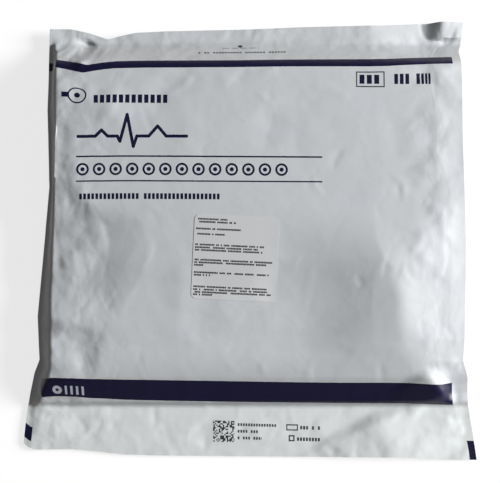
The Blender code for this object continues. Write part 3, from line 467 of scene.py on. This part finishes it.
def scatterFolds():
    rng = np.random.default_rng(crumple["seed"])
    made = []
    while len(made) < crumple["count"]:
        u, v = rng.random(2)
        (rightFrom, rightOver), (topFrom, topOver) = crumple["rightSlack"], crumple["topSlack"]
        slack = max(1.0 - u / crumple["leftSlack"], (u - rightFrom) / rightOver,
                    (crumple["footSlack"] - v) / crumple["footSlack"], (v - topFrom) / topOver,
                    crumple["middleSlack"])
        keep = rng.random() < slack
        length = rng.uniform(*crumple["length"])
        turn = rng.normal(math.pi / 2, crumple["turnSpread"])
        bend = rng.normal(0.0, crumple["bend"]) * length
        reach = rng.uniform(*crumple["reach"], size=2)
        height = rng.uniform(*crumple["steepness"]) * reach.min() * rng.choice([-1.0, 1.0])
        if not keep:
            continue
        middle = np.array([(u - 0.5) * bag["width"], (v - 0.5) * bag["length"]])
        along = np.array([math.cos(turn), math.sin(turn)])
        aside = np.array([-along[1], along[0]]) * bend
        made.append(([middle - along * length / 2, middle + aside, middle + along * length / 2],
                     tuple(reach), height, crumple["taper"]))
    return made


fineFolds = scatterFolds()


# The web that was printed before the bag was sealed, in millimetres. Its map is measured along the film, out
# from the bag's middle, and turns into plain shares of the film at the seals, where the edges are drawn in.
web = {
    "width": 264.0, "length": 262.0, "sealBlendAcross": (0.40, 0.47), "sealBlendAlong": (0.30, 0.42),
    "backShift": (2.0, 0.0),  # the back panel reads the map two widths along, where it is bare of print
}


def mapAlong(x, y, axis, size, blend):
    height = baseHeight(x, y)
    runs = np.hypot(np.diff(x if axis == 0 else y, axis=axis), np.diff(height, axis=axis))
    start = np.zeros_like(np.take(runs, [0], axis=axis))
    travelled = np.concatenate([start, np.cumsum(runs, axis=axis)], axis=axis)
    count = runs.shape[axis]
    places, distances = (x.T, travelled.T) if axis == 0 else (y, travelled)
    middle = np.array([np.interp(0.0, line, run) for line, run in zip(places, distances)])
    measured = (travelled - (middle[None, :] if axis == 0 else middle[:, None])) / size + 0.5
    shares = np.linspace(0.0, 1.0, count + 1).reshape((-1, 1) if axis == 0 else (1, -1))
    nearSeal = smoothStep(*blend, np.abs(shares - 0.5))
    return measured + (shares - measured) * nearSeal


def addPanel(shape, points, printMap):
    columns, rows = points.shape[0] - 1, points.shape[1] - 1
    uvLayer = shape.loops.layers.uv.verify()
    made = bmesh.ops.create_grid(shape, x_segments=columns, y_segments=rows, size=0.5)
    places = {}
    for vert in made["verts"]:
        place = (round((vert.co.x + 0.5) * columns), round((vert.co.y + 0.5) * rows))
        places[vert] = place
        vert.co = points[place] * mm
    for face in {face for vert in made["verts"] for face in vert.link_faces}:
        for loop in face.loops:
            loop[uvLayer].uv = printMap[places[loop.vert]]
    return made["verts"]


def rimOf(verts):
    edges = {edge for vert in verts for edge in vert.link_edges}
    return [edge for edge in edges if edge.is_boundary]


def makePouch():
    x, y = planGrid(bag["columns"], bag["rows"])
    frontGrid = frontPoints(x, y)
    printMap = np.stack([mapAlong(x, y, 0, web["width"], web["sealBlendAcross"]),
                         mapAlong(x, y, 1, web["length"], web["sealBlendAlong"])], axis=-1)
    shape = bmesh.new()
    front = addPanel(shape, frontGrid, printMap)
    back = addPanel(shape, backPoints(x, y, frontGrid), printMap + web["backShift"])
    bmesh.ops.bridge_loops(shape, edges=rimOf(front) + rimOf(back))
    bmesh.ops.recalc_face_normals(shape, faces=shape.faces)
    mesh = bpy.data.meshes.new("film_pouch")
    shape.to_mesh(mesh)
    shape.free()
    mesh.shade_smooth()
    mesh.set_sharp_from_angle(angle=math.radians(bag["sharpAngle"]))
    piece = bpy.data.objects.new("film_pouch", mesh)
    bpy.context.scene.collection.objects.link(piece)
    return piece


def centreOnTable(piece):
    corners = np.array([vert.co[:] for vert in piece.data.vertices])
    low, high = corners.min(axis=0), corners.max(axis=0)
    shift = Vector((-(low[0] + high[0]) / 2, -(low[1] + high[1]) / 2, -low[2]))
    for vert in piece.data.vertices:
        vert.co += shift
    return shift


pouchPiece = makePouch()
bagShift = centreOnTable(pouchPiece)
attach(pouchPiece, "root")
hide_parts("pouch")
print("stage: pouch shaped,", len(pouchPiece.data.polygons), "faces")


label = {
    "size": 48.0, "corner": 3.0, "cornerSteps": 6, "thickness": 0.09, "gap": 0.06, "cells": 40,
    "sharpAngle": 50.0, "turn": -2.7, "fromLeft": 121.5, "fromBottom": 114.5,
}


def makeLabel():
    turn = math.radians(label["turn"])
    centreX = -bag["width"] / 2 + label["fromLeft"]
    centreY = -bag["length"] / 2 + label["fromBottom"]
    shape = bmesh.new()
    bmesh.ops.create_grid(shape, x_segments=1, y_segments=1, size=label["size"] / 2)
    bmesh.ops.bevel(shape, geom=shape.verts[:], offset=label["corner"], offset_type="OFFSET",
                    segments=label["cornerSteps"], profile=0.5, affect="VERTICES", material=-1)
    for cut in range(1, label["cells"]):
        place = label["size"] * (cut / label["cells"] - 0.5)
        for normal in ((1, 0, 0), (0, 1, 0)):
            geometry = shape.verts[:] + shape.edges[:] + shape.faces[:]
            middle = [place * side for side in normal]
            bmesh.ops.bisect_plane(shape, geom=geometry, plane_co=middle, plane_no=normal)
    uvLayer = shape.loops.layers.uv.new("film")
    for face in shape.faces:
        for loop in face.loops:
            loop[uvLayer].uv = (loop.vert.co.x / label["size"] + 0.5, loop.vert.co.y / label["size"] + 0.5)
    made = bmesh.ops.extrude_face_region(shape, geom=shape.faces[:], use_keep_orig=True)
    upper = {item for item in made["geom"] if isinstance(item, bmesh.types.BMVert)}
    x = np.array([centreX + v.co.x * math.cos(turn) - v.co.y * math.sin(turn) for v in shape.verts])
    y = np.array([centreY + v.co.x * math.sin(turn) + v.co.y * math.cos(turn) for v in shape.verts])
    seat = frontPoints(x, y)[:, 2]
    for index, vert in enumerate(shape.verts):
        lift = label["gap"] + (label["thickness"] if vert in upper else 0.0)
        vert.co = Vector((x[index] * mm, y[index] * mm, (seat[index] + lift) * mm)) + bagShift
    bmesh.ops.recalc_face_normals(shape, faces=shape.faces)
    mesh = bpy.data.meshes.new("paper_label")
    shape.to_mesh(mesh)
    shape.free()
    mesh.shade_smooth()
    mesh.set_sharp_from_angle(angle=math.radians(label["sharpAngle"]))
    piece = bpy.data.objects.new("paper_label", mesh)
    bpy.context.scene.collection.objects.link(piece)
    return piece


labelPiece = makeLabel()
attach(labelPiece, "root")
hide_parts("applied_label")
print("stage: label pressed on")


def toLinear(hexColour):
    channels = [int(hexColour[i:i + 2], 16) / 255 for i in (1, 3, 5)]
    return tuple(c / 12.92 if c <= 0.04045 else ((c + 0.055) / 1.055) ** 2.4 for c in channels) + (1.0,)


def addNode(tree, kind, settings, inputs=None):    # an input takes a value or another node's socket
    node = tree.nodes.new(kind)
    for name, value in settings.items():
        setattr(node, name, value)
    for name, value in (inputs or {}).items():
        if isinstance(value, bpy.types.NodeSocket):
            tree.links.new(value, node.inputs[name])
        else:
            node.inputs[name].default_value = value
    return node


def startMaterial(name):
    material = bpy.data.materials.new(name)
    material.use_nodes = True
    shader = material.node_tree.nodes["Principled BSDF"]
    return material, material.node_tree, shader


# What is printed on the web, in its own millimetres from the lower left corner.
prints = {
    "slope": 0.007, "lowSlope": 0.0205, "lowSlopeFrom": (110.0, 55.0),    # it was pulled askew at its foot
    "thinBand": (-1.0, 258.8, 229.3, 235.3),           # left, right, bottom, top
    "bigBand": (9.4, 254.6, 33.4, 47.6),
    "rules": [(32.9, 172.9, 175.4, 176.3), (32.9, 172.9, 161.3, 162.1)],
    "electrodeRow": (31.9, 154.5, 168.5), "electrodePitch": 9.43, "electrodeRing": 3.0, "ringWidth": 1.2,
    "trace": [(33.8, 187.4), (43.7, 187.4), (47.2, 191.0), (50.7, 187.4), (56.2, 187.4), (57.8, 184.4),
              (61.8, 199.8), (65.4, 181.4), (67.4, 187.4), (74.2, 187.4), (79.2, 193.2), (84.2, 187.4),
              (95.8, 187.4)],
    "traceWidth": 1.8,
    "eyeMarks": [(-1.0, 4.2, 1.2, 9.4), (260.0, 265.0, -1.0, 13.2)],
    "icon": (33.0, 212.0), "iconRing": 5.0, "iconLine": 0.9, "iconDot": 1.7,
    "iconTab": (9.0, 5.0, 1.6),                        # its ends left of the icon, and half its height
    # rows of plain blocks where words would stand: left, right, bottom, top, pitch
    "blocks": [(42.6, 87.6, 206.6, 211.6, 3.6), (32.6, 114.6, 151.3, 154.6, 2.3),
               (214.3, 239.7, 218.4, 224.2, 3.18), (194.4, 207.0, 218.6, 224.0, 4.2)],
    "smallBlocks": [(102.0, 155.6, 242.9, 244.3, 1.7), (124.8, 147.2, 17.2, 18.8, 1.5),
                    (124.8, 136.4, 13.4, 15.0, 1.5), (124.8, 138.6, 9.6, 11.2, 1.5),
                    (160.6, 172.4, 16.2, 18.2, 1.7), (158.8, 172.6, 9.6, 11.6, 1.7)],
    "frames": [(192.4, 208.8, 216.6, 226.0, 0.7), (152.6, 159.4, 15.4, 19.0, 0.7),
               (154.0, 157.4, 9.2, 12.8, 0.8)],
    "code": (110.6, 122.9, 7.8, 20.0), "codeCell": 0.77, "codeBare": 0.48,
    "tearDashes": (116.0, 137.2, 248.1, 248.6), "tearPitch": 5.2, "tearInk": 0.7,
    "tearIcon": (126.2, 250.2), "tearIconSize": 1.3,
    "whiteDisc": (21.5, 38.6), "whiteDiscRing": (1.1, 3.2),
    "whiteBars": (26.5, 38.5, 35.2, 42.0, 3.2), "whiteBarInk": 0.42,
}


def between(tree, value, low, high):
    return addNode(tree, "ShaderNodeMath", {"operation": "COMPARE"},
                   {0: value, 1: (low + high) / 2, 2: (high - low) / 2}).outputs[0]


def allOf(tree, masks):
    total = masks[0]
    for mask in masks[1:]:
        total = addNode(tree, "ShaderNodeMath", {"operation": "MULTIPLY"}, {0: total, 1: mask}).outputs[0]
    return total


def anyOf(tree, masks):
    total = masks[0]
    for mask in masks[1:]:
        total = addNode(tree, "ShaderNodeMath", {"operation": "MAXIMUM"}, {0: total, 1: mask}).outputs[0]
    return total


def patch(tree, u, v, left, right, bottom, top):
    return allOf(tree, [between(tree, u, left, right), between(tree, v, bottom, top)])


def shareOfCell(tree, value, start, pitch):    # counts cells from the start: whole cells and the share of one
    cell = addNode(tree, "ShaderNodeMath", {"operation": "MULTIPLY_ADD"},
                   {0: value, 1: 1.0 / pitch, 2: -start / pitch}).outputs[0]
    return cell, addNode(tree, "ShaderNodeMath", {"operation": "FRACT"}, {0: cell}).outputs[0]


def distanceTo(tree, point, place):
    return addNode(tree, "ShaderNodeVectorMath", {"operation": "DISTANCE"},
                   {0: point, 1: (place[0], place[1], 0.0)}).outputs["Value"]


def ringAt(tree, away, radius, width):
    return between(tree, away, radius - width / 2, radius + width / 2)


def blockRow(tree, u, v, left, right, bottom, top, pitch, inked=0.68, leftOut=0.14):
    cell, share = shareOfCell(tree, u, left, pitch)    # some blocks are left out, as words leave gaps
    ink = between(tree, share, 0.0, inked)
    number = addNode(tree, "ShaderNodeMath", {"operation": "FLOOR"}, {0: cell})
    rowSeed = bottom * 7.0 + left    # tells the rows apart
    seed = addNode(tree, "ShaderNodeMath", {"operation": "ADD"}, {0: number.outputs[0], 1: rowSeed})
    chance = addNode(tree, "ShaderNodeTexWhiteNoise", {"noise_dimensions": "1D"}, {"W": seed.outputs[0]})
    kept = between(tree, chance.outputs["Value"], leftOut, 2.0)
    return allOf(tree, [patch(tree, u, v, left, right, bottom, top), ink, kept])


def strokes(tree, point, places, width):
    masks = []
    for (startU, startV), (endU, endV) in zip(places, places[1:]):
        run = (endU - startU, endV - startV, 0.0)
        offset = addNode(tree, "ShaderNodeVectorMath", {"operation": "SUBTRACT"},
                         {0: point, 1: (startU, startV, 0.0)}).outputs[0]
        spot = addNode(tree, "ShaderNodeVectorMath", {"operation": "DOT_PRODUCT"}, {0: offset, 1: run})
        share = addNode(tree, "ShaderNodeMath", {"operation": "DIVIDE", "use_clamp": True},
                        {0: spot.outputs["Value"], 1: run[0] ** 2 + run[1] ** 2})
        foot = addNode(tree, "ShaderNodeVectorMath", {"operation": "SCALE"},
                       {0: run, "Scale": share.outputs[0]}).outputs[0]
        gap = addNode(tree, "ShaderNodeVectorMath", {"operation": "DISTANCE"}, {0: offset, 1: foot})
        masks.append(between(tree, gap.outputs["Value"], -1.0, width / 2))
    return anyOf(tree, masks)


def filmInk(tree, u, v):      # returns the dark ink, the fine dark print and the white print as masks
    lowSlope = addNode(tree, "ShaderNodeMapRange", {"clamp": True}, {
        "Value": v, "From Min": prints["lowSlopeFrom"][0], "From Max": prints["lowSlopeFrom"][1],
        "To Min": prints["slope"], "To Max": prints["lowSlope"]})
    fromMiddle = addNode(tree, "ShaderNodeMath", {"operation": "SUBTRACT"}, {0: u, 1: web["width"] / 2})
    v = addNode(tree, "ShaderNodeMath", {"operation": "MULTIPLY_ADD"},
                {0: fromMiddle.outputs[0], 1: lowSlope.outputs["Result"], 2: v}).outputs[0]
    point = addNode(tree, "ShaderNodeCombineXYZ", {}, {"X": u, "Y": v}).outputs[0]
    bands = [patch(tree, u, v, *prints["thinBand"]), patch(tree, u, v, *prints["bigBand"])]

    left, right, middle = prints["electrodeRow"]
    pitch = prints["electrodePitch"]
    across = addNode(tree, "ShaderNodeMath", {"operation": "MULTIPLY_ADD"},
                     {0: shareOfCell(tree, u, left, pitch)[1], 1: pitch, 2: -pitch / 2})
    inCell = addNode(tree, "ShaderNodeCombineXYZ", {}, {"X": across.outputs[0], "Y": v}).outputs[0]
    away = distanceTo(tree, inCell, (0.0, middle))
    electrode = anyOf(tree, [ringAt(tree, away, prints["electrodeRing"], prints["ringWidth"]),
                             between(tree, away, -1.0, prints["ringWidth"])])
    row = allOf(tree, [electrode, between(tree, u, left, right)])

    iconU, iconV = prints["icon"]
    fromIcon = distanceTo(tree, point, prints["icon"])
    tabFrom, tabTo, tabHalf = prints["iconTab"]
    icon = [ringAt(tree, fromIcon, prints["iconRing"], prints["iconLine"]),
            between(tree, fromIcon, -1.0, prints["iconDot"]),
            patch(tree, u, v, iconU - tabFrom, iconU - tabTo, iconV - tabHalf, iconV + tabHalf)]
    heavy = anyOf(tree, bands + icon + [row, strokes(tree, point, prints["trace"], prints["traceWidth"])]
                  + [patch(tree, u, v, *mark) for mark in prints["eyeMarks"] + prints["rules"]]
                  + [blockRow(tree, u, v, *row) for row in prints["blocks"]])

    frames = []
    for left, right, bottom, top, line in prints["frames"]:
        outer = patch(tree, u, v, left, right, bottom, top)
        inner = patch(tree, u, v, left + line, right - line, bottom + line, top - line)
        frames.append(addNode(tree, "ShaderNodeMath", {"operation": "SUBTRACT"},
                              {0: outer, 1: inner}).outputs[0])
    cells = addNode(tree, "ShaderNodeVectorMath", {"operation": "SNAP"},
                    {0: point, 1: (prints["codeCell"], prints["codeCell"], 1.0)})
    speckle = addNode(tree, "ShaderNodeTexWhiteNoise", {"noise_dimensions": "2D"},
                      {"Vector": cells.outputs[0]}).outputs["Value"]
    code = allOf(tree, [patch(tree, u, v, *prints["code"]), between(tree, speckle, prints["codeBare"], 2.0)])
    dash = shareOfCell(tree, u, prints["tearDashes"][0], prints["tearPitch"])[1]
    dashes = allOf(tree, [patch(tree, u, v, *prints["tearDashes"]),
                          between(tree, dash, 0.0, prints["tearInk"])])
    tearIcon = between(tree, distanceTo(tree, point, prints["tearIcon"]), -1.0, prints["tearIconSize"])
    fine = anyOf(tree, frames + [code, dashes, tearIcon]
                 + [blockRow(tree, u, v, *row) for row in prints["smallBlocks"]])

    disc = between(tree, distanceTo(tree, point, prints["whiteDisc"]), *prints["whiteDiscRing"])
    left, right, bottom, top, pitch = prints["whiteBars"]
    bar = between(tree, shareOfCell(tree, u, left, pitch)[1], 0.0, prints["whiteBarInk"])
    bars = allOf(tree, [patch(tree, u, v, left, right, bottom, top), bar])
    return heavy, fine, anyOf(tree, [disc, bars])


film = {
    # The flap's paler white is painted light, standing in for the extra light it takes from the room.
    "white": "#C2C5CA", "whiteWarm": "#C4C8C9", "flapPaintedLight": "#D4D8D8",
    "darkInk": "#0E0A30", "fineInk": "#333238", "whiteInk": "#B9BCC8",
    "cloud": 28.0,            # millimetres across a cloud of slightly warmer white
    "flapLightFrom": (35.0, 28.0), # painted light: the flap takes more light from the room, so a paler white is painted on it
    "roughness": 0.62, "handling": 0.05, "inkRoughness": 0.40, "specular": 0.4,
    # buckles left in the laminate: millimetres across, and how steep their flat sides are
    "buckles": [(27.0, 0.017, 0.4), (13.0, 0.021, 1.2), (6.0, 0.012, 2.1)],
    "strayed": 0.6,           # how far their edges wander, as a share of their size
    "calm": 0.30,             # how much of that the stretched middle still shows
    # where the laminate is slack: (u or v, calm at, slack at, how slack), in the web's millimetres
    "slack": [("u", 78.0, 22.0, 1.0), ("u", 205.0, 252.0, 0.55), ("v", 62.0, 30.0, 0.4),
              ("v", 222.0, 244.0, 0.8)],
}


def buckles(tree, point, size, steepness, turn):    # flat-sided peaks and dimples, as stiff film gives way
    stray = addNode(tree, "ShaderNodeTexNoise", {"noise_dimensions": "2D"},
                    {"Vector": point, "Scale": film["strayed"] / size, "Detail": 0.0})
    moved = addNode(tree, "ShaderNodeVectorMath", {"operation": "MULTIPLY_ADD"},
                    {0: stray.outputs["Color"], 1: (size, size, 0.0), 2: point})
    turned = addNode(tree, "ShaderNodeMapping", {},
                     {"Vector": moved.outputs[0], "Rotation": (0.0, 0.0, turn)})
    cell = addNode(tree, "ShaderNodeTexVoronoi", {"voronoi_dimensions": "2D", "distance": "CHEBYCHEV"},
                   {"Vector": turned.outputs[0], "Scale": 1.0 / size})
    return addNode(tree, "ShaderNodeMath", {"operation": "MULTIPLY"},
                   {0: cell.outputs["Distance"], 1: size * steepness}).outputs[0]


def slackness(tree, u, v):    # where the laminate is slack: toward the side seals, the foot and the flaps
    shares = []
    eased = {"clamp": True, "interpolation_type": "SMOOTHSTEP"}
    for axis, calmAt, slackAt, slack in film["slack"]:
        shares.append(addNode(tree, "ShaderNodeMapRange", eased, {
            "Value": u if axis == "u" else v, "From Min": calmAt, "From Max": slackAt,
            "To Min": film["calm"], "To Max": slack}).outputs["Result"])
    return anyOf(tree, shares)


# Laminated barrier film, blown white polyethylene over foil: satin, a little cool, buckled where it is slack,
# and printed by gravure in a near-black violet that stays glossier than the white.
def makeFilm():
    material, tree, shader = startMaterial("laminatedBarrierFilm")
    place = addNode(tree, "ShaderNodeUVMap", {}).outputs[0]
    inMillimetres = addNode(tree, "ShaderNodeMapping", {},
                            {"Vector": place, "Scale": (web["width"], web["length"], 1.0)}).outputs[0]
    sides = addNode(tree, "ShaderNodeSeparateXYZ", {}, {0: inMillimetres})
    u, v = sides.outputs["X"], sides.outputs["Y"]
    heavy, fine, white = filmInk(tree, u, v)

    cloudy = addNode(tree, "ShaderNodeTexNoise", {"noise_dimensions": "2D"},
                     {"Vector": inMillimetres, "Scale": 1.0 / film["cloud"], "Detail": 3.0}).outputs["Fac"]
    colour = addNode(tree, "ShaderNodeMix", {"data_type": "RGBA"},
                     {0: cloudy, 6: toLinear(film["white"]), 7: toLinear(film["whiteWarm"])}).outputs[2]
    # Painted light: the flap's white is painted paler, for the extra light it takes from the room.
    flapLightMask = addNode(tree, "ShaderNodeMapRange", {"clamp": True}, {
        "Value": v, "From Min": film["flapLightFrom"][0], "From Max": film["flapLightFrom"][1],
        "To Min": 0.0, "To Max": 1.0}).outputs["Result"]
    for mask, paint in ((flapLightMask, "flapPaintedLight"), (heavy, "darkInk"), (fine, "fineInk"), (white, "whiteInk")):
        colour = addNode(tree, "ShaderNodeMix", {"data_type": "RGBA"},
                         {0: mask, 6: colour, 7: toLinear(film[paint])}).outputs[2]
    tree.links.new(colour, shader.inputs["Base Color"])

    handled = addNode(tree, "ShaderNodeMapRange", {}, {
        "Value": cloudy, "From Min": 0.3, "From Max": 0.7,
        "To Min": film["roughness"] - film["handling"], "To Max": film["roughness"] + film["handling"]})
    glossed = addNode(tree, "ShaderNodeMix", {"data_type": "FLOAT"},
                      {0: heavy, 2: handled.outputs["Result"], 3: film["inkRoughness"]})
    tree.links.new(glossed.outputs[0], shader.inputs["Roughness"])
    shader.inputs["Specular IOR Level"].default_value = film["specular"]

    layers = [buckles(tree, inMillimetres, *buckle) for buckle in film["buckles"]]
    height = layers[0]
    for layer in layers[1:]:
        height = addNode(tree, "ShaderNodeMath", {"operation": "ADD"}, {0: height, 1: layer}).outputs[0]
    eased = allOf(tree, [height, slackness(tree, u, v)])
    bump = addNode(tree, "ShaderNodeBump", {}, {"Height": eased, "Distance": mm, "Strength": 1.0})
    tree.links.new(bump.outputs["Normal"], shader.inputs["Normal"])
    return material


paper = {
    "white": "#CECFD1", "fibre": "#C6C7C9", "ink": "#1B1A1E", "roughness": 0.55, "specular": 0.4,
    "fibreSize": 0.8, "tooth": 0.02,                   # millimetres; real fibres are finer and would not show
    # rows of plain dashes where words would stand: millimetres from the top, and where each row ends
    "rows": [(2.8, 18.6), (4.4, 23.5), (8.3, 26.3), (11.3, 17.5), (17.3, 40.0), (18.9, 36.5), (20.4, 39.3),
             (25.9, 45.0), (27.4, 41.7), (28.9, 6.2), (33.0, 43.5), (34.5, 10.5), (41.0, 42.6), (42.6, 43.0),
             (44.1, 45.0), (45.5, 12.0)],
    "rowStart": 1.0, "rowHeight": 1.0, "pitch": 0.85, "inked": 0.84, "leftOut": 0.12,
}


# Coated label paper, matt with a faint tooth of fibres and fine black print.
def makePaper():
    material, tree, shader = startMaterial("coatedLabelPaper")
    place = addNode(tree, "ShaderNodeUVMap", {}).outputs[0]
    inMillimetres = addNode(tree, "ShaderNodeMapping", {},
                            {"Vector": place, "Scale": (label["size"], label["size"], 1.0)}).outputs[0]
    sides = addNode(tree, "ShaderNodeSeparateXYZ", {}, {0: inMillimetres})
    fibres = addNode(tree, "ShaderNodeTexNoise", {"noise_dimensions": "2D"},
                     {"Vector": inMillimetres, "Scale": 1.0 / paper["fibreSize"], "Detail": 4.0,
                      "Roughness": 0.7}).outputs["Fac"]
    colour = addNode(tree, "ShaderNodeMix", {"data_type": "RGBA"},
                     {0: fibres, 6: toLinear(paper["white"]), 7: toLinear(paper["fibre"])}).outputs[2]
    rows = []
    for fromTop, end in paper["rows"]:
        bottom = label["size"] - fromTop - paper["rowHeight"] / 2
        rows.append(blockRow(tree, sides.outputs["X"], sides.outputs["Y"], paper["rowStart"], end, bottom,
                             bottom + paper["rowHeight"], paper["pitch"], paper["inked"], paper["leftOut"]))
    colour = addNode(tree, "ShaderNodeMix", {"data_type": "RGBA"},
                     {0: anyOf(tree, rows), 6: colour, 7: toLinear(paper["ink"])}).outputs[2]
    tree.links.new(colour, shader.inputs["Base Color"])
    shader.inputs["Roughness"].default_value = paper["roughness"]
    shader.inputs["Specular IOR Level"].default_value = paper["specular"]
    tooth = addNode(tree, "ShaderNodeBump", {},
                    {"Height": fibres, "Distance": paper["tooth"] * mm, "Strength": 1.0})
    tree.links.new(tooth.outputs["Normal"], shader.inputs["Normal"])
    return material


pouchPiece.data.materials.append(makeFilm())
labelPiece.data.materials.append(makePaper())
print("stage: materials made")


studio = {
    "distance": 0.78, "elevation": 85.0, "target": (0.0, -0.0018, 0.003), "mmPerPixel": 0.58,
    "pixelsWide": 500, "sensor": 36.0,
    "keyPlace": (3.32, 0.35, 1.35), "keySize": 1.3, "keyWatts": 278, "skyForObject": 0.13,
    "floorHalf": 2.0, "floorDrop": 0.0002, "floorRoughness": 0.9,
    "floorSeen": "#8E8E8E", "floorGlow": 0.76, "floorBounce": "#93765A",
}


def makeCamera():
    elevation = math.radians(studio["elevation"])
    target = Vector(studio["target"])
    data = bpy.data.cameras.new("camera")
    camera = bpy.data.objects.new("camera", data)
    camera.location = target + studio["distance"] * Vector((0, -math.cos(elevation), math.sin(elevation)))
    camera.rotation_euler = (target - camera.location).to_track_quat("-Z", "Y").to_euler()
    seenWidth = studio["mmPerPixel"] * studio["pixelsWide"] * mm
    data.sensor_width = studio["sensor"]
    data.lens = data.sensor_width * studio["distance"] / seenWidth
    bpy.context.scene.collection.objects.link(camera)
    bpy.context.scene.camera = camera


def makeKeyLight():
    data = bpy.data.lights.new("window", "AREA")
    data.shape = "SQUARE"
    data.size = studio["keySize"]
    data.energy = studio["keyWatts"]
    lamp = bpy.data.objects.new("window", data)
    lamp.location = studio["keyPlace"]
    lamp.rotation_euler = (Vector((0, 0, 0)) - lamp.location).to_track_quat("-Z", "Y").to_euler()
    bpy.context.scene.collection.objects.link(lamp)


def makeWorld():
    world = bpy.data.worlds.new("room")
    bpy.context.scene.world = world
    world.use_nodes = True
    tree = world.node_tree
    path = addNode(tree, "ShaderNodeLightPath", {})
    background = tree.nodes["Background"]
    background.inputs["Color"].default_value = (1.0, 1.0, 1.0, 1.0)
    strength = addNode(tree, "ShaderNodeMapRange", {}, {
        "Value": path.outputs["Is Camera Ray"], "To Min": studio["skyForObject"], "To Max": 1.0})
    tree.links.new(strength.outputs["Result"], background.inputs["Strength"])


def makeFloor():
    shape = bmesh.new()
    bmesh.ops.create_grid(shape, x_segments=1, y_segments=1, size=studio["floorHalf"])
    mesh = bpy.data.meshes.new("floor")
    shape.to_mesh(mesh)
    shape.free()
    floor = bpy.data.objects.new("floor", mesh)
    floor.location = (0, 0, -studio["floorDrop"])
    bpy.context.scene.collection.objects.link(floor)
    material, tree, shader = startMaterial("paleTable")
    path = addNode(tree, "ShaderNodeLightPath", {})
    seen = addNode(tree, "ShaderNodeMath", {"operation": "MAXIMUM"},
                   {0: path.outputs["Is Camera Ray"], 1: path.outputs["Is Glossy Ray"]}).outputs[0]
    colour = addNode(tree, "ShaderNodeMix", {"data_type": "RGBA"},
                     {0: seen, 6: toLinear(studio["floorBounce"]), 7: toLinear(studio["floorSeen"])})
    tree.links.new(colour.outputs[2], shader.inputs["Base Color"])
    shader.inputs["Roughness"].default_value = studio["floorRoughness"]
    shader.inputs["Emission Color"].default_value = (1.0, 1.0, 1.0, 1.0)
    glow = addNode(tree, "ShaderNodeMath", {"operation": "MULTIPLY"}, {0: seen, 1: studio["floorGlow"]})
    tree.links.new(glow.outputs[0], shader.inputs["Emission Strength"])
    mesh.materials.append(material)


makeCamera()
makeKeyLight()
makeWorld()
makeFloor()
bpy.context.scene.view_settings.view_transform = "Standard"
print("stage: studio set")
